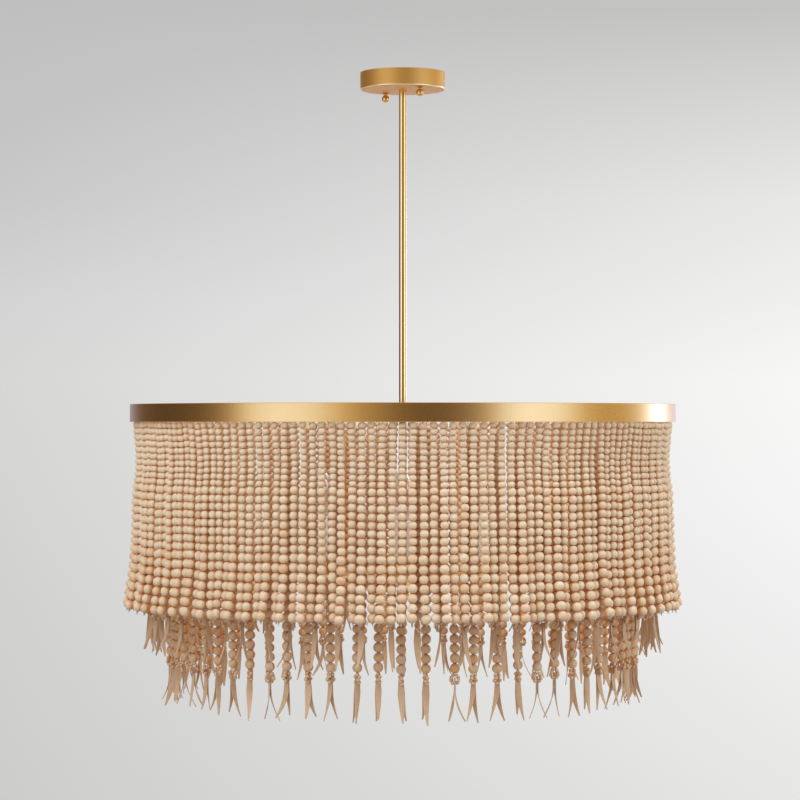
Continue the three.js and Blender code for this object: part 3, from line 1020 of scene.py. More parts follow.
    def lay_floor(self) -> None:
        """Lays a pale round floor whose rim fades into the room."""
        mesh = bpy.data.meshes.new("floor")
        rim = [
            (self.floor_radius * math.cos(a), self.floor_radius * math.sin(a), self.floor_level)
            for a in np.arange(self.floor_sides) * TURN / self.floor_sides
        ]
        mesh.from_pydata(rim, [], [list(range(self.floor_sides))])
        paint = bpy.data.materials.new("floor paint")
        paint.use_nodes = True
        tree = paint.node_tree
        tree.nodes.clear()
        place = add(tree, "TexCoord").outputs["Object"]
        flat = add(tree, "VectorMath", {0: place, 1: (1.0, 1.0, 0.0)}, operation="MULTIPLY")
        reach = add(tree, "VectorMath", {0: flat}, operation="LENGTH")
        fade = add(
            tree,
            "MapRange",
            {"Value": reach.outputs["Value"], "From Min": self.fade_start, "From Max": self.fade_end},
            interpolation_type="SMOOTHSTEP",
        )
        matt = add(tree, "BsdfDiffuse", {"Color": linear(self.floor_paint)})
        glow = add(tree, "Emission", {"Color": linear(self.floor_glow), "Strength": self.glow_strength})
        rays = add(tree, "LightPath")
        lit = add(tree, "AddShader", {0: matt, 1: glow})
        seen = rays.outputs["Is Camera Ray"]
        for kind in ("Is Glossy Ray", "Is Transmission Ray"):
            seen = add(tree, "Math", {0: seen, 1: rays.outputs[kind]}, operation="MAXIMUM")
        shown = add(tree, "MixShader", {0: seen, 1: matt, 2: lit})
        gone = add(tree, "BsdfTransparent")
        faded = add(tree, "MixShader", {0: fade, 1: shown, 2: gone})
        add(tree, "OutputMaterial", {"Surface": faded})
        mesh.materials.append(paint)
        floor = bpy.data.objects.new("floor", mesh)
        bpy.context.scene.collection.objects.link(floor)

    def build(self) -> None:
        """Sets up everything but the camera."""
        for box in self.boxes:
            self.hang_lamp(*box)
        self.light_room()
        self.lay_floor()


@dataclass
class CeilingFixing:
    """The crossbar on its ceiling box, with two studs, the nipple and its lock nut."""

    thread_pitch: float = 0.8 * MM
    nipple_pitch: float = 1.2 * MM
    plate_edge: float = 0.35 * MM
    slot_length: float = 15.0 * MM
    slot_width: float = 5.0 * MM
    slot_centre: float = 30.0 * MM
    bar_width: float = 20.0 * MM
    bar_past_studs: float = 9.0 * MM
    bar_corner: float = 3.0 * MM
    nipple_hole: float = 8.6 * MM
    stud_hole: float = 4.6 * MM
    stud: float = 2.0 * MM
    nipple: float = 4.0 * MM
    nipple_bore: float = 2.8 * MM
    nut_flats: float = 14.0 * MM
    nut_bore: float = 4.9 * MM
    nut_chamfer: float = 0.6 * MM
    nut_sides: int = 48
    corner_steps: int = 6
    sides: int = 32

    def crossbar_turn(self) -> float:
        """The way the crossbar lies, taken from its studs' places."""
        place = middle_of("stud_2")
        return math.atan2(place.y, place.x)

    def crossbar(self) -> Shape:
        """A flat bar with rounded corners, two slots and three holes, as an extruded outline.

        Returns:
            The bar.
        """
        spacing = (middle_of("stud_2") - middle_of("stud_1")).length
        low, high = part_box("crossbar")
        thickness = high.z - low.z
        outline = bpy.data.curves.new("crossbar outline", "CURVE")
        outline.dimensions = "2D"
        outline.fill_mode = "BOTH"
        outline.extrude = thickness / 2 - self.plate_edge
        outline.bevel_depth = self.plate_edge
        outline.bevel_resolution = 2
        holes = [(0.0, self.nipple_hole, self.nipple_hole)]
        for side in (-1, 1):
            holes.append((side * spacing / 2, self.stud_hole, self.stud_hole))
            holes.append((side * self.slot_centre, self.slot_length, self.slot_width))
        length = spacing + 2 * self.bar_past_studs
        self.add_outline(outline, (0.0, length, self.bar_width), self.bar_corner, self.plate_edge)
        for hole in holes:
            self.add_outline(outline, hole, hole[2] / 2, -self.plate_edge)
        plate = bpy.data.objects.new("crossbar outline", outline)
        bpy.context.scene.collection.objects.link(plate)
        bpy.context.view_layer.update()
        mesh = bpy.data.meshes.new_from_object(plate.evaluated_get(bpy.context.evaluated_depsgraph_get()))
        points = np.array([v.co for v in mesh.vertices])
        corners = np.array([v for p in mesh.polygons for v in p.vertices])
        sizes = np.array([len(p.vertices) for p in mesh.polygons])
        bpy.data.objects.remove(plate)
        bpy.data.meshes.remove(mesh)
        return Shape(points, corners, sizes).moved((0, 0, -thickness / 2), self.crossbar_turn())

    def add_outline(self, curve: bpy.types.Curve, span: Triple, corner: float, inset: float) -> None:
        """Adds one closed outline with round corners to the plate.

        Args:
            curve: the curve that gets it.
            span: its centre along the bar, its length and its width.
            corner: its corners' radius.
            inset: how far it is drawn in, to leave room for the bevel.
        """
        x, long, wide = span
        half_long = long / 2 - inset
        half_wide = wide / 2 - inset
        radius = min(corner, half_long, half_wide)
        points = []
        for quarter, (sx, sy) in enumerate(((1, 1), (-1, 1), (-1, -1), (1, -1))):
            for step in range(self.corner_steps + 1):
                angle = (quarter + step / self.corner_steps) * math.pi / 2
                at_x = x + sx * (half_long - radius) + radius * math.cos(angle)
                at_y = sy * (half_wide - radius) + radius * math.sin(angle)
                points.append((at_x, at_y, 0.0, 1.0))
        spline = curve.splines.new("POLY")
        spline.points.add(len(points) - 1)
        for point, place in zip(spline.points, points):
            point.co = place
        spline.use_cyclic_u = True

    def build(self) -> list[Piece]:
        """The fixing's pieces.

        Returns:
            Its pieces.
        """
        made = [Piece("ceiling_crossbar", self.crossbar(), ZINC, "fixture", ("crossbar",))]
        for index in (1, 2):
            low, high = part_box(f"stud_{index}")
            centre = (low + high) / 2
            profile = threaded(self.stud, low.z, high.z, self.thread_pitch)
            stud = Shape.turned(profile, self.sides).moved((centre.x, centre.y, 0))
            made.append(Piece(f"threaded_stud_{index}", stud, ZINC, "fixture", (f"stud_{index}",)))
        low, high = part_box("nipple")
        profile = threaded(self.nipple, low.z, high.z, self.nipple_pitch)
        profile += [(self.nipple_bore, high.z), (self.nipple_bore, low.z)]
        nipple = Shape.turned(profile, self.sides, loop=True)
        made.append(Piece("threaded_nipple", nipple, ZINC, "fixture", ("nipple",)))
        made.append(Piece("hex_lock_nut", self.hex_nut(), ZINC, "fixture", ("lock_nut",)))
        return made

    def hex_nut(self) -> Shape:
        """A hexagon nut with chamfered corners, turned round its threaded bore.

        Returns:
            The nut.
        """
        low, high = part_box("lock_nut")
        angles = np.arange(self.nut_sides) * TURN / self.nut_sides
        flat = self.nut_flats / 2 / np.cos((angles + TURN / 12) % (TURN / 6) - TURN / 12)
        small = np.minimum(flat, self.nut_flats / 2 / math.cos(math.pi / 6) - self.nut_chamfer)
        bore = np.full(self.nut_sides, self.nut_bore)
        rows = [
            (small, low.z),
            (flat, low.z + self.nut_chamfer),
            (flat, high.z - self.nut_chamfer),
            (small, high.z),
            (bore, high.z),
            (bore, low.z),
        ]
        cos, sin, level = np.cos(angles), np.sin(angles), np.ones(self.nut_sides)
        rings = [np.stack([radius * cos, radius * sin, z * level], -1) for radius, z in rows]
        return Shape.ringed(np.stack(rings), loop=True)


@dataclass
class Canopy:
    """The ceiling pan and its two ball cap nuts."""

    wall: float = 1.2 * MM
    edge: float = 2.8 * MM
    # A point this far past the inner bend is on the outside, where hands rub and where the bend's painted
    # highlight lies
    rub_and_highlight_past: float = 0.1 * MM
    rod_hole: float = 5.8 * MM
    cone: float = 4.2 * MM
    cone_height: float = 2.2 * MM
    cone_land: float = 0.8 * MM
    cone_edge: float = 0.3 * MM
    neck: float = 2.9 * MM
    ball: float = 5.75 * MM
    bore: float = 2.3 * MM
    bore_depth: float = 9.8 * MM
    nut_sides: int = 40
    sides: int = 128

    def pan(self) -> Shape:
        """A spun pan with a round lower edge and a hole for the rod.

        Returns:
            The pan, with its outer bend marked for polish and a painted highlight.
        """
        low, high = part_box("canopy")
        outer = high.x
        edge = self.edge
        inner = edge - self.wall
        centre = (outer - edge, low.z + edge)
        hem = self.wall / 2
        # Two more rings beside the bend keep the flat and the wall shaded straight
        beside = 1.0 * MM
        profile = [
            (self.rod_hole, low.z),
            (centre[0] - beside, low.z),
            *arc(centre, edge, -90, 0, 10),
            (outer, centre[1] + beside),
            (outer, high.z - hem - beside),
            *arc((outer - hem, high.z - hem), hem, 0, 180, 6),
            *arc(centre, inner, 0, -90, 8),
            (self.rod_hole, low.z + self.wall),
        ]
        pan = Shape.turned(profile, self.sides, loop=True)
        rise = np.clip((pan.points[:, 2] - low.z) / edge, 0, 1)
        outside = pan.points[:, 0] ** 2 + pan.points[:, 1] ** 2 > (centre[0] + inner + self.rub_and_highlight_past) ** 2
        pan.marks = {"rubbed": np.where(outside, np.sin(math.pi * rise) ** 0.5, 0.0)}
        return pan

    def cap_nut(self, index: int) -> Shape:
        """A turned cone, neck and ball with a blind bore for its stud.

        Args:
            index: which of the two.

        Returns:
            The nut.
        """
        low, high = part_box(f"ball_nut_{index}")
        centre = (low + high) / 2
        rise = math.degrees(math.acos(self.neck / self.ball))
        profile = [
            *arc((0, low.z + self.ball), self.ball, -88, rise, 18),
            (self.neck, high.z - self.cone_height),
            (self.cone, high.z - self.cone_land),
            *arc((self.cone - self.cone_edge, high.z - self.cone_edge), self.cone_edge, 0, 90, 4),
            (self.bore, high.z),
            (self.bore, high.z - self.bore_depth),
        ]
        return Shape.turned(profile, self.nut_sides).moved((centre.x, centre.y, 0))

    def build(self) -> list[Piece]:
        """The pan and its nuts.

        Returns:
            Its pieces.
        """
        made = [Piece("canopy_pan", self.pan(), PAN_BRASS, "canopy", ("canopy",))]
        for index in (1, 2):
            name = f"ball_nut_{index}"
            made.append(Piece(f"ball_cap_nut_{index}", self.cap_nut(index), POLISHED_BRASS, name, (name,)))
        return made


@dataclass
class RodAndFrame:
    """The down rod, the hoop, its spokes and hub, the hanging rings, the stem and the supply lead."""

    rod: float = 5.5 * MM
    wall: float = 1.2 * MM
    tube_edge: float = 0.3 * MM
    band_wall: float = 1.5 * MM
    band_edge: float = 0.45 * MM
    band_sides: int = 360
    spoke_width: float = 14.0 * MM
    spoke_thickness: float = 6.0 * MM
    spoke_edge: float = 1.2 * MM
    spoke_start: float = 12.0 * MM
    hub_radius: float = 18.0 * MM
    hub_edge: float = 1.5 * MM
    socket_gap: float = 0.3 * MM
    socket_depth: float = 9.0 * MM
    lead_bore: float = 2.8 * MM
    lead: float = 2.5 * MM
    # A plate at each spoke's end, from below the spoke's middle to above it
    plate_from: float = -4.5 * MM
    plate_to: float = 7.0 * MM
    plate_inset: float = 0.5 * MM
    plate_width: float = 18.0 * MM
    plate_thickness: float = 1.6 * MM
    rings: tuple[str, ...] = ("outer", "middle", "inner")
    ring_sides: int = 240
    ring_steps: int = 24
    strap_width: float = 7.0 * MM
    strap_thickness: float = 1.0 * MM
    strap_gap: float = 0.1 * MM
    strap_bend: float = 2.0 * MM
    sides: int = 64

    def tube(self, node: str) -> Shape:
        """The rod or the stem, over its node's height.

        Args:
            node: the rod's or the stem's node.

        Returns:
            The tube.
        """
        low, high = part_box(node)
        profile = rounded_tube(self.rod - self.wall, self.rod, low.z, high.z, self.tube_edge)
        return Shape.turned(profile, self.sides, loop=True)

    def band(self) -> Shape:
        """The hoop, rolled from flat bar, with its edges broken.

        Returns:
            The hoop.
        """
        low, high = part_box("ring_band")
        profile = rounded_tube(high.x - self.band_wall, high.x, low.z, high.z, self.band_edge)
        return Shape.turned(profile, self.band_sides, loop=True)

    def hub(self) -> Shape:
        """The turned hub, with sockets above and below.

        Returns:
            The hub.
        """
        low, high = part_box("spoke_frame")
        socket = self.rod + self.socket_gap
        edge = self.hub_edge
        profile = [
            (socket, low.z),
            *arc((self.hub_radius - edge, low.z + edge), edge, -90, 0, 5),
            *arc((self.hub_radius - edge, high.z - edge), edge, 0, 90, 5),
            (socket, high.z),
            (socket, high.z - self.socket_depth),
            (self.lead_bore, high.z - self.socket_depth),
            (self.lead_bore, low.z + self.socket_depth),
            (socket, low.z + self.socket_depth),
        ]
        return Shape.turned(profile, self.sides, loop=True)

    def spoke(self, level: float, reach: float) -> Shape:
        """One flat bar with rounded edges, from the hub to the hoop.

        Args:
            level: its middle's height.
            reach: how far out it goes.

        Returns:
            The spoke, along +X.
        """
        edge = self.spoke_edge
        side = self.spoke_width / 2 - edge
        top = self.spoke_thickness / 2 - edge
        corners = ((side, -top), (side, top), (-side, top), (-side, -top))
        section = [arc(corner, edge, turn * 90 - 90, turn * 90, 3) for turn, corner in enumerate(corners)]
        path = np.array([(x, 0.0, level) for x in np.linspace(self.spoke_start, reach, 4)])
        return Shape.swept(path, SIDEWAYS, np.concatenate(section))

    def end_plate(self, level: float, reach: float) -> Shape:
        """The upright plate at a spoke's end, which is welded to the hoop's inside.

        Args:
            level: the spoke's middle.
            reach: the hoop's inside.

        Returns:
            The plate.
        """
        heights = np.linspace(self.plate_from, self.plate_to, 5)
        path = np.array([(reach - self.plate_inset, 0.0, level + z) for z in heights])
        return Shape.swept(path, SIDEWAYS, oblong(self.plate_width, self.plate_thickness))

    def hanging_ring(self, node: str) -> Shape:
        """A round wire ring."""
        radius, wire, level = ring_of(node)
        return Shape.turned(circle(wire, self.ring_steps) + (radius, level), self.ring_sides, loop=True)

    def strap(self, radius: float, ring_level: float, wire: float, spoke_top: float) -> Shape:
        """A saddle strap that holds a ring up against a spoke.

        Args:
            radius: the ring's radius.
            ring_level: its height.
            wire: its wire's radius.
            spoke_top: the spoke's upper face.

        Returns:
            The strap, on the spoke along +X.
        """
        gap = self.strap_thickness / 2 + self.strap_gap
        half = self.spoke_width / 2 + gap
        foot = ring_level - wire - gap
        side = [(half, spoke_top + gap), (half, ring_level), (half - self.strap_bend, foot)]
        path = [(radius, -y, z) for y, z in side] + [(radius, y, z) for y, z in reversed(side)]
        section = oblong(self.strap_width, self.strap_thickness)
        return Shape.swept(np.array(path), np.array([1.0, 0.0, 0.0]), section, loop=True)

    def build(self) -> list[Piece]:
        """All pieces between the canopy and the lamps.

        Returns:
            Its pieces.
        """
        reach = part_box("spoke_frame")[1].x
        spoke_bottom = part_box("outer_hanging_ring")[1].z + self.socket_gap
        level = spoke_bottom + self.spoke_thickness / 2
        parts = [self.hub()]
        for quarter in range(4):
            angle = quarter * TURN / 4
            parts.append(self.spoke(level, reach).moved((0, 0, 0), angle))
            parts.append(self.end_plate(level, reach).moved((0, 0, 0), angle))
        straps = []
        for ring in self.rings:
            radius, wire, ring_level = ring_of(f"{ring}_hanging_ring")
            strap = self.strap(radius, ring_level, wire, spoke_bottom + self.spoke_thickness)
            straps += [strap.moved((0, 0, 0), quarter * TURN / 4) for quarter in range(4)]
        made = [
            Piece("polished_down_rod", self.tube("down_rod"), DRAWN_BRASS, "fixture", ("down_rod",)),
            Piece("brass_hoop", self.band(), HOOP_BRASS, "fixture", ("ring_band",)),
            Piece("hub_and_spokes", Shape.join(parts), BRASS, "fixture", ("spoke_frame",)),
            Piece("ring_straps", Shape.join(straps), BRASS, "fixture"),
            Piece("stem_tube", self.tube("lower_stem"), DRAWN_BRASS, "fixture", ("lower_stem",)),
        ]
        for ring in self.rings:
            node = f"{ring}_hanging_ring"
            made.append(Piece(f"{ring}_wire_ring", self.hanging_ring(node), BRASS, "fixture", (node,)))
        low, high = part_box("supply_lead")
        lead = Shape.turned([(self.lead, low.z), (self.lead, high.z)], 24)
        made.append(Piece("supply_cable", lead, PVC, "fixture", ("supply_lead",)))
        return made


@dataclass
class Curtain:
    """A ring of bead strands in panels, each panel riding on its own body."""

    tier: str
    nodes: str
    panels: int
    strands: int
    beads: tuple[tuple[Bead, int], ...]
    top_room: float
    seed: int
    turn_share: float = 0.0
    top_play: float = 0.6 * MM
    foot_play: float = 3.5 * MM
    depth_play: float = 9.0 * MM
    # Every second strand hangs behind its neighbours, apart from this share that changed places
    stray_share: float = 0.16
    # It hangs back by this share of the depth's play and by up to a few spreads more, and more further down
    behind_share: float = 0.75
    behind_spread: float = 0.25
    front_spread: float = 0.12
    depth_power: float = 1.3
    # A strand's own bend is a curve of this many terms
    bend_terms: int = 4
    front_room: float = 2.0 * MM
    # Right under the hoop a strand has no room in front, and all of it from this share of its length
    front_start: float = 0.25
    hang_play: float = 0.9 * MM
    bead_play: float = 0.22 * MM
    # Painted shade: how much more tan the wood is painted where the curtain hangs in shade
    painted_shade_tan: float = 0.0
    clearance: float = 0.3 * MM
    # The beads don't all touch, so a strand is this much longer than its beads
    slack: float = 1.008
    wire: float = 0.3 * MM
    # The loop of wire that hangs a strand on its ring
    top_loop: float = 2.75 * MM
    top_overlap: float = 0.3 * MM
    # Beads vary by this much in width and height, and lean a little on their wire
    width_spread: float = 0.025
    height_spread: float = 0.03
    bead_lean: float = 0.06
    # The stringer makes up this share of what a strand came out too long or too short
    evened_share: float = 0.5
    # A bead is cut flat where its bore opens, this many degrees above its waist
    bore_angle: float = 74.0
    # Points nearer than this to a bead's upright axis face neither in nor out
    blind_core: float = 0.1 * MM
    bead_sides: int = 14
    bead_rings: int = 7
    # The strands settle in this many rounds, and bend evenly in all but the last few
    rounds: int = 60
    even_rounds: int = 52

    def __post_init__(self) -> None:
        """Reads the ring that carries the curtain, and lays out one strand."""
        self.rng = np.random.default_rng(self.seed)
        self.ring_radius, self.ring_wire, self.ring_level = ring_of(f"{self.tier}_hanging_ring")
        self.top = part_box(f"{self.nodes}_1")[1].z - self.top_room
        self.widths = np.concatenate([np.full(count, bead.width) for bead, count in self.beads])
        self.heights = np.concatenate([np.full(count, bead.height) for bead, count in self.beads])
        self.drops = np.cumsum(self.heights) - self.heights / 2
        self.length = float(self.heights.sum())
        self.count = self.panels * self.strands
        self.pitch = TURN / self.count

    def radius_at(self, share: np.ndarray) -> np.ndarray:
        """How far from the axis the strands hang, by the share of their length."""
        return np.full_like(share, self.ring_radius)

    def room_behind(self, share: np.ndarray) -> np.ndarray:
        """How far behind its place a strand may hang, by the share of its length."""
        return np.full_like(share, 2 * self.depth_play)

    def settle(self) -> tuple[np.ndarray, np.ndarray]:
        """Lets the strands find their places, as they push each other aside or hang one behind another.

        Returns:
            How far each bead is off its place round the ring and outwards, by strand and by bead.
        """
        share = self.drops / self.length
        lean = self.rng.normal(0, 1, (3, self.count, 1))
        along = lean[0] * self.top_play * (1 - share) + lean[1] * self.foot_play * share
        strays = self.rng.random((self.count, 1)) < self.stray_share
        behind = (np.arange(self.count)[:, None] % 2 == 1) ^ strays
        back = -self.behind_spread * np.abs(lean[2]) - self.behind_share
        depth = np.where(behind, back, self.front_spread * lean[2]) * self.depth_play
        out = depth * share**self.depth_power
        # A strand at a panel's edge keeps beside its neighbour, never behind it
        border = (np.arange(self.count) + 1) % self.strands == 0
        base = np.stack([share**k for k in range(self.bend_terms)], 1)
        fit = base @ np.linalg.pinv(base)
        need = self.widths + self.clearance
        spacing = self.pitch * self.radius_at(share)
        behind_room = self.room_behind(share)
        front_room = self.front_room * np.clip(share / self.front_start, 0, 1)
        for step in range(self.rounds):
            for parity in (0, 1):
                near = np.arange(parity, self.count, 2)
                far = (near + 1) % self.count
                side = spacing + along[far] - along[near]
                deep = np.where(border[near, None], 0.0, out[far] - out[near])
                apart = np.hypot(side, deep)
                push = np.maximum(need - apart, 0) / 2 / np.maximum(apart, 1e-6)
                along[near] -= push * side
                along[far] += push * side
                out[near] -= push * deep
                out[far] += push * deep
            out = np.clip(out, -behind_room, front_room)
            if step < self.even_rounds:
                along = along @ fit.T
                out = out @ fit.T
        return along, out

    def angles(self) -> np.ndarray:
        """Each strand's angle round the ring, with the first panel's middle on +X."""
        steps = np.arange(self.count) + 0.5 - self.strands / 2
        return (steps + self.turn_share) * self.pitch

    def lay(self) -> tuple[np.ndarray, np.ndarray, np.ndarray]:
        """Finds every bead's place.

        Returns:
            Centres and upward directions by strand and by bead, and the beads' scales.
        """
        along, out = self.settle()
        share = self.drops / self.length
        radius = self.radius_at(share) + out
        angle = self.angles()[:, None] + along / radius
        size = 1 + self.rng.normal(0, self.width_spread, (self.count, len(self.widths)))
        heights = self.heights * (1 + self.rng.normal(0, self.height_spread, size.shape))
        drops = np.cumsum(heights, 1) - heights / 2
        over = drops[:, -1:] + heights[:, -1:] / 2 - self.length
        drops *= self.slack * self.length / (self.length + over * self.evened_share)
        hang = self.rng.normal(0, self.hang_play, (self.count, 1))
        hang = np.clip(hang, -2 * self.hang_play, 1.5 * self.hang_play)
        centres = np.stack([radius * np.cos(angle), radius * np.sin(angle), self.top + hang - drops], -1)
        rise = -np.gradient(centres, axis=1)
        rise /= np.linalg.norm(rise, axis=-1, keepdims=True)
        # Each bead sits a little off its wire
        centres[..., :2] += self.rng.normal(0, self.bead_play, (*size.shape, 2))
        scales = np.stack([self.widths * size, self.widths * size, heights], -1)
        return centres, rise, scales

    def frames(self, rise: np.ndarray, spin: np.ndarray) -> np.ndarray:
        """Rotation matrices whose third axis is the given direction, spun about it.

        Args:
            rise: the directions.
            spin: an angle for each, in radians.

        Returns:
            A matrix for each.
        """
        # No bore and no grain runs exactly this way
        side = np.cross(np.array([0.31, 0.95, 0.02]), rise)
        side /= np.linalg.norm(side, axis=-1, keepdims=True)
        other = np.cross(rise, side)
        cos, sin = np.cos(spin)[:, None], np.sin(spin)[:, None]
        return np.stack([cos * side + sin * other, cos * other - sin * side, rise], -1)

    def unit_bead(self, bead: Bead, sides: int, rings: int) -> Shape:
        """A bead one wide and one high, full at the waist and flat at its bore.

        Args:
            bead: its kind.
            sides: its sides round the bore.
            rings: its rings along it.

        Returns:
            The bead.
        """
        rim = math.radians(self.bore_angle)
        steps = np.linspace(-rim, rim, rings)
        profile = [(0.5 * math.cos(a) ** bead.roundness, 0.5 * math.sin(a) / math.sin(rim)) for a in steps]
        return Shape.turned(profile, sides)

    def string(
        self, unit: Shape, tan: float, centres: np.ndarray, rise: np.ndarray, scales: np.ndarray
    ) -> Shape:
        """Turns places into beads, each with its own tone, painted shade in its gaps and its own piece of
        grain.

        Args:
            unit: the bead to copy.
            tan: the share of tan that they all have.
            centres: the beads' centres.
            rise: the direction of each bore.
            scales: each bead's width, width and height.

        Returns:
            All the beads.
        """
        count = len(centres)
        axis = rise + self.rng.normal(0, self.bead_lean, (count, 3))
        axis /= np.linalg.norm(axis, axis=-1, keepdims=True)
        beads = unit.copies(self.frames(axis, self.rng.random(count) * TURN), centres, scales)
        way = self.rng.normal(0, 1, (count, 3))
        way /= np.linalg.norm(way, axis=-1, keepdims=True)
        local = unit.points[None] * scales[:, None, :]
        grain = np.einsum("nij,nvj->nvi", self.frames(way, self.rng.random(count) * TURN), local)
        grain = grain + self.rng.random((count, 1, 3)) * BEECH.block
        tone = self.rng.normal(tan + self.painted_shade_tan, BEECH.tone_spread, count)
        tone = np.clip(tone, 0, BEECH.most_tan)[:, None]
        # Tan round each bore: the end grain's own, and painted shade where bead meets bead
        tone = tone + BEECH.bore_tan_and_shade * np.abs(2 * unit.points[None, :, 2]) ** BEECH.bore_power
        # Painted shade in the gaps between strands: faces that look sideways get more tan, and those that
        # look back a little less
        outward = centres * (1, 1, 0) / np.linalg.norm(centres[:, :2], axis=1)[:, None]
        facing = (beads.points.reshape(count, -1, 3) - centres[:, None]) * (1, 1, 0)
        facing /= np.linalg.norm(facing, axis=2, keepdims=True) + self.blind_core
        outwards = (facing * outward[:, None]).sum(2)
        gap_shade = np.clip(BEECH.gap_shade_start - BEECH.gap_shade_slope * outwards, 0, 1)
        tone = tone + BEECH.gap_shade_tan * gap_shade * (1 + BEECH.back_fade * np.minimum(outwards, 0))
        beads.marks = {"grain": grain.reshape(-1, 3), "tone": np.clip(tone, 0, 1).ravel()}
        return beads

    def top_loops(self, angles: np.ndarray) -> Shape:
        """Wire loops that hang the strands on their ring.

        Args:
            angles: the strands' angles round the ring.

        Returns:
            The loops.
        """
        top = self.ring_level + self.ring_wire + self.wire
        foot = self.top - self.top_overlap
        loop = Shape.wire_loop(self.top_loop, (top - foot) / 2, (top + foot) / 2, self.wire, 14)
        turns, places = self.around(angles, np.full(len(angles), self.ring_radius))
        return loop.copies(turns, places)

    def around(self, angles: np.ndarray, radius: np.ndarray) -> tuple[np.ndarray, np.ndarray]:
        """Rotations that turn +X outwards at each angle, and places on the ring at no height.

        Args:
            angles: the angles, in radians.
            radius: how far out each place is.

        Returns:
            The rotations and the places.
        """
        cos, sin, none = np.cos(angles), np.sin(angles), np.zeros(len(angles))
        rows = ((cos, -sin, none), (sin, cos, none), (none, none, none + 1))
        turns = np.stack([np.stack(row, -1) for row in rows], 1)
        return turns, np.stack([radius * cos, radius * sin, none], -1)

    def strand_wires(self, centres: np.ndarray) -> list[Shape]:
        """The wires that the beads are strung on.

        Args:
            centres: the beads' centres, by strand.

        Returns:
            A wire for each strand.
        """
        wires = []
        for strand in centres:
            top = (*strand[0][:2], self.top)
            foot = strand[-1] - (0, 0, self.heights[-1] / 2)
            path = np.concatenate([[top], strand[::3], [foot]])
            wires.append(Shape.swept(path, np.array([1.0, 0.2, 0.0]), circle(self.wire, WIRE_SIDES)))
        return wires

    def build(self) -> list[Piece]:
        """Every panel's beads and wires, and what the kind of curtain adds.

        Returns:
            Its pieces.
        """
        centres, rise, scales = self.lay()
        units = [self.unit_bead(bead, self.bead_sides, self.bead_rings) for bead, _ in self.beads]
        ends = np.cumsum([0] + [count for _, count in self.beads])
        angles = self.angles()
        made = []
        for panel in range(self.panels):
            span = slice(panel * self.strands, (panel + 1) * self.strands)
            body = f"{self.tier}_panel_{panel + 1}"
            strings = []
            for unit, (bead, _), first, last in zip(units, self.beads, ends, ends[1:]):
                parts = (part[span, first:last].reshape(-1, 3) for part in (centres, rise, scales))
                strings.append(self.string(unit, bead.tan, *parts))
            beads = Shape.join(strings)
            node = f"{self.nodes}_{panel + 1}"
            made.append(Piece(f"{self.tier}_beads_{panel + 1}", beads, BEECH, body, (node,)))
            wires = Shape.join([self.top_loops(angles[span]), *self.strand_wires(centres[span])])
            made.append(Piece(f"{self.tier}_wires_{panel + 1}", wires, WIRE, body))
            made += self.ends(panel + 1, body, centres[span], rise[span])
        return made

    def ends(self, number: int, body: str, centres: np.ndarray, rise: np.ndarray) -> list[Piece]:
        """What hangs under a panel's last beads."""
        raise NotImplementedError


@dataclass
class BeadSkirt(Curtain):
    """The outer curtain, which hangs straight and flares out at its foot over silver crimps."""

    waist: float = 3.0 * MM
    waist_end: float = 0.42
    belly: float = 1.0 * MM
    flare: float = 14.0 * MM
    flare_start: float = 0.7
    flare_power: float = 1.5
    crimp: float = 1.2 * MM
    crimp_length: float = 2.0 * MM
    crimp_edge: float = 0.4 * MM
    crimp_eye: float = 0.9 * MM
    # The curtain behind swings out by a degree, and its beads are off their places by up to the play
    next_swing: float = 1.0
    next_play: float = 1.3 * MM

    def radius_at(self, share: np.ndarray) -> np.ndarray:
        """A slight waist under the hoop, an even middle, and a flare over the large beads.

        Args:
            share: shares of a strand's length, from its top.

        Returns:
            The radius at each.
        """
        waist = -self.waist * np.sin(np.clip(share / self.waist_end, 0, 1) * math.pi) ** 2
        belly = self.belly * np.clip(share / self.flare_start, 0, 1)
        flared = np.clip((share - self.flare_start) / (1 - self.flare_start), 0, 1)
        return self.ring_radius + waist + belly + (self.flare - self.belly) * flared**self.flare_power

    def room_behind(self, share: np.ndarray) -> np.ndarray:
        """The room before the middle curtain's beads, also while that one swings out.

        Args:
            share: shares of a strand's length, from its top.

        Returns:
            The room at each.
        """
        next_radius = ring_of("middle_hanging_ring")[0]
        swing = math.radians(self.next_swing) * (self.ring_level - self.top + share * self.length)
        return self.radius_at(share) - next_radius - self.widths - swing - self.next_play

    def crimp_shape(self) -> Shape:
        """A squeezed crimp with the wire's end turned back in a small loop, its top at the origin.

        Returns:
            The crimp.
        """
        edge = self.crimp_edge
        barrel = [
            *arc((self.crimp - edge, edge - self.crimp_length), edge, -90, 0, 3),
            *arc((self.crimp - edge, -edge), edge, 0, 90, 3),
        ]
        level = -self.crimp_length - self.crimp_eye
        eye = Shape.wire_loop(self.crimp_eye, self.crimp_eye, level, self.wire, 12)
        return Shape.join([Shape.turned(barrel, 10), eye])

    def ends(self, number: int, body: str, centres: np.ndarray, rise: np.ndarray) -> list[Piece]:
        """A crimp under each strand.

        Args:
            number: the panel's number.
            body: the body that it rides on.
            centres: the beads' centres, by strand.
            rise: the directions of their bores.

        Returns:
            The crimps, as one piece.
        """
        last = rise[:, -1]
        places = centres[:, -1] - last * self.heights[-1] * 0.5
        turns = self.frames(last, self.rng.random(len(places)) * TURN)
        crimps = self.crimp_shape().copies(turns, places)
        return [Piece(f"{self.tier}_crimps_{number}", crimps, SILVER, body)]


